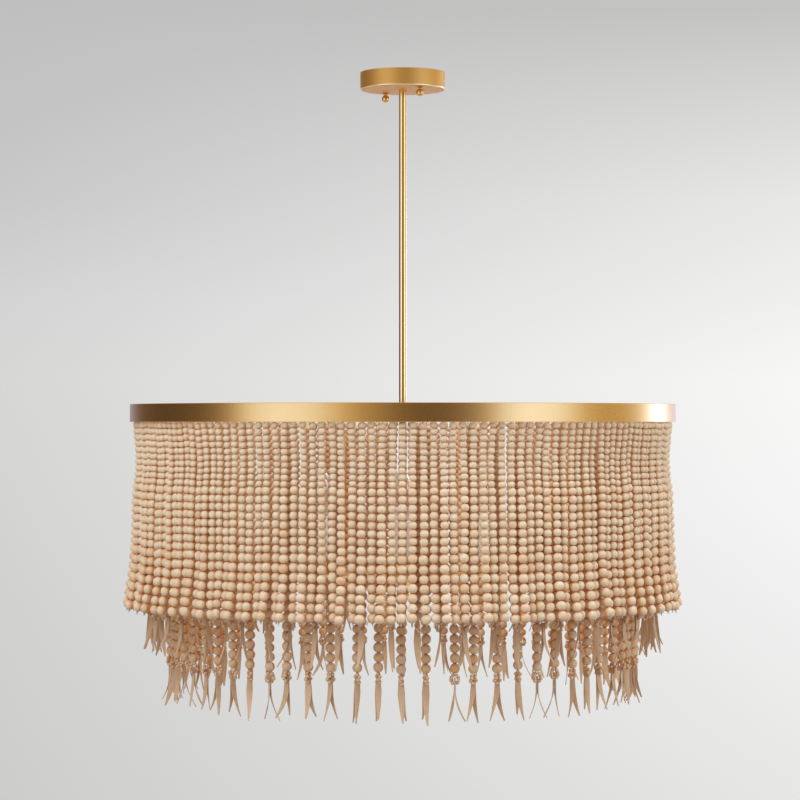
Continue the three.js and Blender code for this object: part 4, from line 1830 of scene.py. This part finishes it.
@dataclass
class TasselCurtain(Curtain):
    """A curtain whose strands end in a loop of seed beads with a folded leather strip through it."""

    # Both tiers hang more freely sideways than the skirt and hardly in depth, and in its shade, so their
    # wood gets painted shade
    top_play: float = 2.0 * MM
    foot_play: float = 2.5 * MM
    depth_play: float = 0.8 * MM
    painted_shade_tan: float = 0.17
    loop_width: float = 15.5 * MM
    loop_height: float = 18.0 * MM
    tail: float = 52.0 * MM
    tail_width: float = 9.6 * MM
    tip_width: float = 2.0 * MM
    leather: float = 1.0 * MM
    spread: float = 14.0 * MM
    joined_share: float = 0.3
    fold_rise: float = 7.5 * MM
    fold_gap: float = 0.25 * MM
    leather_edge: float = 0.25 * MM
    # What each tail has of the spread, the curve of its bow, and its length and width, from least to most
    spread_share: tuple[float, float] = (0.4, 1.15)
    bow_power: tuple[float, float] = (1.25, 1.9)
    length_share: tuple[float, float] = (0.88, 1.04)
    width_share: tuple[float, float] = (0.8, 1.12)
    sway: float = 2.5 * MM
    side_lean: float = 1.5 * MM
    twist: float = 0.55
    tone: float = 0.35
    tone_play: float = 0.25
    # Gathered in the loop, widest a third of the way down, then tapering like a willow leaf to its tip
    leaf_places: tuple[float, ...] = (0.0, 0.12, 0.34, 0.62, 0.85, 1.0)
    leaf_widths: tuple[float, ...] = (0.6, 0.8, 1.0, 0.76, 0.42)
    edge_turn: float = 0.1
    # The loop's wire is drawn up into the last bead's bore
    seat: float = 0.8 * MM
    # The first seed's middle, in seed heights below the loop's top, and the last one's room over the fold
    seed_start: float = 0.55
    fold_room: float = 0.2 * MM
    # A seed's bore points to where the loop is this much further on
    look_ahead: float = 0.5 * MM
    seeds_per_side: int = 4
    seed_sides: int = 10
    seed_rings: int = 6
    seed_spread: float = 0.03
    # The seed beads crowd on a loose wire, so they lie this far to one side or the other of it
    seed_depth: float = 1.1 * MM

    def loop_halves(self) -> tuple[float, float]:
        """Half the loop's width and half its height, between wire centres."""
        return (self.loop_width - Bead.SEED.width) / 2, (self.loop_height - Bead.SEED.width) / 2

    def loop_places(self) -> tuple[np.ndarray, np.ndarray]:
        """Where the seed beads sit on their loop.

        Returns:
            Places and bore directions in the loop's own plane, with its top at the origin.
        """
        half_wide, half_high = self.loop_halves()
        fine = np.linspace(0, math.pi, 200)
        x = half_wide * np.sin(fine)
        z = -Bead.SEED.width / 2 - half_high * (1 - np.cos(fine))
        run = np.concatenate([[0], np.cumsum(np.hypot(np.diff(x), np.diff(z)))])
        clear = self.leather + self.fold_room
        last = run[-1] - clear - Bead.SEED.height / 2
        wanted = np.linspace(Bead.SEED.height * self.seed_start, last, self.seeds_per_side)
        at_x, at_z = np.interp(wanted, run, x), np.interp(wanted, run, z)
        beyond = wanted + self.look_ahead
        ahead = np.interp(beyond, run, x) - at_x, np.interp(beyond, run, z) - at_z
        places, ways = [], []
        depth = self.seed_depth * (np.arange(self.seeds_per_side) % 2 * 2 - 1)
        for side in (-1, 1):
            places.append(np.stack([side * at_x, side * depth, at_z], 1))
            ways.append(np.stack([side * ahead[0], 0 * at_x, ahead[1]], 1))
        ways_all = np.concatenate(ways)
        return np.concatenate(places), ways_all / np.linalg.norm(ways_all, axis=1, keepdims=True)

    def strip(self) -> Shape:
        """One leather strip, folded over the loop's foot with its tails bowed apart.

        The fold lies at the origin, the tails spread along X, and the strip's width lies along Y.

        Returns:
            The strip, with grain values.
        """
        rng = self.rng
        share = np.linspace(0, 1, 13)
        free = np.clip((share - self.joined_share) / (1 - self.joined_share), 0, 1)
        fold_radius = self.leather / 2 + self.fold_gap
        lean = rng.choice([-1, 1]) * self.side_lean * share**2
        sway = rng.normal(0, self.sway) * share**2
        halves = []
        for side in (-1, 1):
            reach = self.spread * rng.uniform(*self.spread_share)
            x = side * (fold_radius + reach * free ** rng.uniform(*self.bow_power)) + lean
            y = sway + rng.normal(0, self.sway) * free**2
            run = (self.tail * rng.uniform(*self.length_share) + self.fold_rise) * share
            twist = rng.normal(0, self.twist) * free
            halves.append(np.stack([x, y, -run, share, twist, side * run], 1))
        over = np.radians(np.linspace(0, 180, 7))[1:-1]
        fold = np.zeros((len(over), 6))
        fold[:, 0] = -fold_radius * np.cos(over)
        fold[:, 2] = fold_radius * np.sin(over)
        rows = np.concatenate([halves[0][::-1], fold, halves[1]])
        path = rows[:, :3]
        share, twist, run = rows[:, 3:].T
        width = self.tail_width * rng.uniform(*self.width_share)
        leaf = (*self.leaf_widths, self.tip_width / self.tail_width)
        half_width = width * np.interp(share, self.leaf_places, leaf)[:, None] / 2
        across = np.stack([np.sin(twist), np.cos(twist), 0 * twist], 1)
        flat = self.leather / 2
        edge = flat - self.leather_edge
        section = np.zeros((len(path), 8, 2))
        section[..., 0] = half_width * (1, 1, 0.8, -0.8, -1, -1, -0.8, 0.8)
        section[..., 1] = (-edge, edge, flat, flat, edge, -edge, -flat, -flat)
        strip = Shape.swept(path, across, section)
        whole = np.ones(section.shape[:2])
        grain = np.stack([section[..., 0], run[:, None] * whole, rng.random() * 3 * whole], -1)
        tone = np.clip(rng.normal(self.tone, self.tone_play), 0, 1) * whole
        strip.marks = {"grain": grain.reshape(-1, 3), "tone": tone.ravel()}
        return strip

    def ends(self, number: int, body: str, centres: np.ndarray, rise: np.ndarray) -> list[Piece]:
        """A bead loop and a leather tassel under each strand.

        Args:
            number: the panel's number.
            body: the body that it rides on.
            centres: the beads' centres, by strand.
            rise: the directions of their bores.

        Returns:
            The seed beads, their wires and the leather.
        """
        tops = centres[:, -1] - rise[:, -1] * (self.heights[-1] * 0.5 - self.seat)
        round_ring = np.arctan2(tops[:, 1], tops[:, 0])
        free = self.rng.random(len(tops)) * math.pi
        # The tassels at a panel's edges spread inwards and outwards, clear of the next panel's
        free[0], free[-1] = self.edge_turn, -self.edge_turn
        turns, _ = self.around(round_ring + free, np.ones(len(tops)))
        seeds, ways = self.loop_places()
        unit = self.unit_bead(Bead.SEED, self.seed_sides, self.seed_rings)
        seed_size = np.array([Bead.SEED.width, Bead.SEED.width, Bead.SEED.height])
        all_seeds, wires, strips = [], [], []
        half_wide, half_high = self.loop_halves()
        wire = Shape.wire_loop(half_wide, half_high, -Bead.SEED.width / 2 - half_high, self.wire, 20)
        foot = self.loop_height - Bead.SEED.width / 2
        for turn, top in zip(turns, tops):
            places = seeds @ turn.T + top
            along = ways @ turn.T
            scales = seed_size * self.rng.normal(1, self.seed_spread, (len(places), 1))
            all_seeds.append(self.string(unit, Bead.SEED.tan, places, along, scales))
            wires.append(wire.copies(turn[None], top[None]))
            strip = self.strip()
            fold = top - (0, 0, foot - self.fold_rise + self.wire)
            strips.append(Shape(strip.points @ turn.T + fold, strip.corners, strip.sizes, strip.marks))
        return [
            Piece(f"{self.tier}_bead_loops_{number}", Shape.join(all_seeds), BEECH, body),
            Piece(f"{self.tier}_loop_wires_{number}", Shape.join(wires), WIRE, body),
            Piece(f"{self.tier}_leather_{number}", Shape.join(strips), LEATHER, body),
        ]


@dataclass
class LampCluster:
    """The lamp hub, six bent arms with cups, ivory candle sleeves, bulbs and the finial."""

    count: int = 6
    hub_radius: float = 23.0 * MM
    hub_belt: float = 8.0 * MM
    hub_edge: float = 1.5 * MM
    hub_foot: float = 8.0 * MM
    hub_bowl: float = 11.0 * MM
    # From the belt to the stem's socket: the shoulder, the neck under the lip, and the lip
    hub_shoulder: float = 17.0 * MM
    hub_neck: float = 11.0 * MM
    hub_lip: float = 10.0 * MM
    hub_socket: float = 5.8 * MM
    hub_socket_depth: float = 9.0 * MM
    arm: float = 4.0 * MM
    arm_start: float = 23.2 * MM
    arm_bend: float = 22.0 * MM
    knuckle: float = 6.5 * MM
    knuckle_out: float = 4.5 * MM
    # The cup, by its height over the arm's end: foot, shoulder, bowl and lip outside, seat and floor inside
    cup_rim: float = 1.2 * MM
    cup_bore: float = 4.4 * MM
    cup_foot: float = -5.0 * MM
    cup_shoulder: float = -3.2 * MM
    cup_shoulder_share: float = 0.55
    cup_bowl: float = 2.4 * MM
    cup_bowl_level: float = 1.0 * MM
    cup_lip: float = 4.0 * MM
    cup_wall: float = 1.0 * MM
    cup_seat: float = 0.2 * MM
    cup_seat_gap: float = 0.6 * MM
    cup_floor: float = -0.6 * MM
    sleeve_radius: float = 13.0 * MM
    sleeve_edge: float = 0.8 * MM
    socket: float = 7.7 * MM
    socket_depth: float = 27.0 * MM
    # The bulb: its screw cap from the box's foot up to the neck, and the glass from there
    neck_height: float = 25.0 * MM
    cap_foot: Points = ((3.0 * MM, 0.0), (4.5 * MM, 2.5 * MM))
    cap_top: Points = ((6.3 * MM, 21.5 * MM), (6.9 * MM, 24.4 * MM), (6.6 * MM, 25.0 * MM))
    thread_start: float = 4.0 * MM
    thread_pitch: float = 2.8 * MM
    thread_turns: int = 6
    thread_root: float = 6.2 * MM
    thread_crest: float = 7.0 * MM
    glass_wall: float = 0.7 * MM
    glass_gap: float = 0.5 * MM
    glass_foot: float = 7.0 * MM
    glass_full: float = 17.5 * MM
    glass_tip: float = 1.2 * MM
    glass_least: float = 0.3 * MM
    full_share: float = 0.36
    # The glass stem and the filaments, as radius and height above the neck
    stem: Points = (
        (3.2 * MM, 0.2 * MM),
        (2.4 * MM, 6.0 * MM),
        (1.4 * MM, 22.0 * MM),
        (0.6 * MM, 23.0 * MM),
    )
    filament: Points = ((1.2 * MM, 20.0 * MM), (7.0 * MM, 20.0 * MM), (2.5 * MM, 52.0 * MM))
    filament_wire: float = 0.3 * MM
    finial_ball: float = 9.0 * MM
    finial_neck: float = 4.0 * MM
    finial_neck_foot: float = 3.4 * MM
    finial_collar: float = 5.6 * MM
    finial_collar_foot: float = 1.6 * MM
    finial_collar_height: float = 1.0 * MM

    def hub(self) -> Shape:
        """A turned hub with a belt where the arms enter.

        Returns:
            The hub.
        """
        low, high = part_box("lamp_hub")
        middle = (low.z + high.z) / 2
        belt = self.hub_belt
        edge = self.hub_edge
        profile = [
            (self.hub_foot, low.z),
            *arc((self.hub_foot, low.z + self.hub_bowl), self.hub_bowl, -84, -2, 8),
            *arc((self.hub_radius - edge, middle - belt + edge), edge, -90, 0, 4),
            *arc((self.hub_radius - edge, middle + belt - edge), edge, 0, 90, 4),
            (self.hub_shoulder, middle + belt),
            (self.hub_neck, high.z - (self.hub_neck - self.hub_lip)),
            (self.hub_lip, high.z),
            (self.hub_socket, high.z),
            (self.hub_socket, high.z - self.hub_socket_depth),
        ]
        return Shape.turned(profile, 64)

    def arm_and_cup(self, index: int) -> Shape:
        """One arm with its knuckle at the hub and the cup that carries a sleeve.

        Args:
            index: which of the six.

        Returns:
            The arm, its knuckle and its cup.
        """
        low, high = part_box(f"candle_holder_{index}")
        sleeve = (high.x - low.x) / 2
        centre = (low + high) / 2
        reach = math.hypot(centre.x, centre.y)
        low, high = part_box(f"lamp_arm_{index}")
        level = low.z + self.arm
        path = [(x, 0.0, level) for x in np.linspace(self.arm_start, reach - self.arm_bend, 5)]
        for share in np.linspace(0, 1, 13)[1:]:
            path.append((reach - (1 - share) ** 2 * self.arm_bend, 0.0, level + share**2 * (high.z - level)))
        tube = Shape.swept(np.array(path), SIDEWAYS, circle(self.arm, 20))
        ball = Shape.turned(arc((0, 0), self.knuckle, -80, 80, 10), 24)
        lying = ball.points[:, [2, 0, 1]] + (self.arm_start + self.knuckle_out, 0, level)
        rim = sleeve + self.cup_rim
        outside = rim + self.cup_bowl
        cup = [
            (self.cup_bore, high.z + self.cup_foot),
            (sleeve * self.cup_shoulder_share, high.z + self.cup_shoulder),
            *arc((rim, high.z + self.cup_bowl_level), self.cup_bowl, -80, 0, 5),
            (outside, high.z + self.cup_lip),
            (outside - self.cup_wall, high.z + self.cup_lip),
            (sleeve + self.cup_seat_gap, high.z + self.cup_seat),
            (self.cup_bore, high.z + self.cup_floor),
        ]
        dish = Shape.turned(cup, 48, loop=True).moved((reach, 0, 0))
        parts = [tube, Shape(lying, ball.corners, ball.sizes), dish]
        return Shape.join(parts).moved((0, 0, 0), math.atan2(centre.y, centre.x))

    def sleeve(self, index: int) -> Shape:
        """A candle sleeve with a soft rim and the lamp socket inside.

        Args:
            index: which of the six.

        Returns:
            The sleeve.
        """
        low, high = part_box(f"candle_holder_{index}")
        centre = (low + high) / 2
        edge = self.sleeve_edge
        profile = [
            *arc((self.sleeve_radius - edge, low.z + edge), edge, -90, 0, 3),
            *arc((self.sleeve_radius - 2 * edge, high.z - 2 * edge), 2 * edge, 0, 90, 6),
            (self.socket + edge, high.z),
            (self.socket, high.z - edge),
            (self.socket, high.z - self.socket_depth),
        ]
        return Shape.turned(profile, 48).moved((centre.x, centre.y, 0))

    def bulb_profile(self, low: float, high: float, inset: float) -> Profile:
        """The candle bulb's outline, drawn in by an inset.

        Args:
            low: the glass's lower end.
            high: the glass's tip.
            inset: how far inside the outer surface.

        Returns:
            Radius and height pairs from the foot to the tip.
        """
        widest = self.full_share
        points = []
        for share in np.linspace(0, 1, 25):
            if share < widest:
                end = self.glass_foot
                swell = math.sin(math.pi / 2 * share / widest)
            else:
                end = self.glass_tip
                swell = math.cos(math.pi / 2 * (share - widest) / (1 - widest))
            radius = end + (self.glass_full - end) * swell
            level = low + inset + share * (high - low - 2 * inset)
            points.append((max(radius - inset, self.glass_least), level))
        return points

    def bulb(self, index: int) -> list[Piece]:
        """One bulb: its screw cap, its thin glass, and the glass stem with its filaments.

        Args:
            index: which of the six.

        Returns:
            Its pieces.
        """
        body = f"bulb_{index}"
        low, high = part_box(body)
        neck = low.z + self.neck_height
        foot = neck + self.glass_gap
        outside, inside = (self.bulb_profile(foot, high.z, wall) for wall in (0.0, self.glass_wall))
        glass = Shape.turned(outside + inside[::-1], 48, loop=True)
        screw = [(radius, low.z + height) for radius, height in self.cap_foot]
        for step in range(self.thread_turns):
            level = low.z + self.thread_start + step * self.thread_pitch
            screw += [(self.thread_root, level), (self.thread_crest, level + self.thread_pitch / 2)]
        screw += [(radius, low.z + height) for radius, height in self.cap_top]
        stem = Shape.turned([(radius, neck + height) for radius, height in self.stem], 16)
        parts = []
        for quarter in range(4):
            way = np.array([math.cos(quarter * TURN / 4), math.sin(quarter * TURN / 4), 0.0])
            bends = np.array([radius * way + (neck + height) * UP for radius, height in self.filament])
            parts.append(Shape.swept(bends, np.array([0.2, 0.1, 1.0]), circle(self.filament_wire, 6)))
        centre = (low + high) / 2
        made = (
            ("glass", glass, GLASS, (body,)),
            ("screw_cap", Shape.turned(screw, 32), ZINC, ()),
            ("stem", stem, GLASS, ()),
            ("filament", Shape.join(parts), TUNGSTEN, ()),
        )
        return [
            Piece(f"bulb_{name}_{index}", shape.moved((centre.x, centre.y, 0)), finish, body, stands_for)
            for name, shape, finish, stands_for in made
        ]

    def finial(self) -> Shape:
        """A turned ball under the hub.

        Returns:
            The finial.
        """
        low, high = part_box("bottom_finial")
        ball = self.finial_ball
        neck = self.finial_neck
        rise = math.degrees(math.acos(neck / ball)) - 6
        profile = [
            *arc((0, low.z + ball), ball, -88, rise, 20),
            (neck, high.z - self.finial_neck_foot),
            (neck, high.z - self.finial_collar_foot),
            (self.finial_collar, high.z - self.finial_collar_height),
            (self.finial_collar, high.z),
        ]
        return Shape.turned(profile, 40)

    def build(self) -> list[Piece]:
        """The cluster's pieces.

        Returns:
            Its pieces.
        """
        made = [
            Piece("turned_lamp_hub", self.hub(), BRASS, "fixture", ("lamp_hub",)),
            Piece("ball_finial", self.finial(), POLISHED_BRASS, "fixture", ("bottom_finial",)),
        ]
        for index in range(1, self.count + 1):
            arm, holder = f"lamp_arm_{index}", f"candle_holder_{index}"
            made.append(
                Piece(f"bent_arm_{index}", self.arm_and_cup(index), POLISHED_BRASS, "fixture", (arm,))
            )
            made.append(Piece(f"candle_sleeve_{index}", self.sleeve(index), IVORY, "fixture", (holder,)))
            made += self.bulb(index)
        return made


def main() -> None:
    """Loads the frame, builds every sub-assembly in order and notes the sizes."""
    logging.basicConfig(level=logging.INFO, format="%(name)s: %(message)s")
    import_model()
    studio = Studio()
    studio.place_camera()
    studio.build()
    # The outer strands are ten small, eight medium and seven large beads
    skirt = BeadSkirt(
        tier="outer",
        nodes="outer_strands",
        panels=12,
        strands=15,
        beads=((Bead.SMALL, 10), (Bead.MEDIUM, 8), (Bead.LARGE, 7)),
        top_room=2.6 * MM,
        seed=21,
    )
    middle = TasselCurtain(
        tier="middle",
        nodes="middle_tassel_strands",
        panels=6,
        strands=11,
        beads=((Bead.SMALL, 11), (Bead.MEDIUM, 8), (Bead.LARGE, 6)),
        top_room=4.3 * MM,
        seed=12,
    )
    inner = TasselCurtain(
        tier="inner",
        nodes="inner_tassel_strands",
        panels=6,
        strands=11,
        beads=((Bead.SMALL, 10), (Bead.MEDIUM, 8), (Bead.LARGE, 12)),
        top_room=7.3 * MM,
        seed=13,
        turn_share=0.5,
    )
    for part in (CeilingFixing(), Canopy(), RodAndFrame(), skirt, middle, inner, LampCluster()):
        pieces = part.build()
        for piece in pieces:
            piece.make()
        LOG.info("%s: %d pieces", type(part).__name__, len(pieces))


if __name__ == "__main__":
    main()
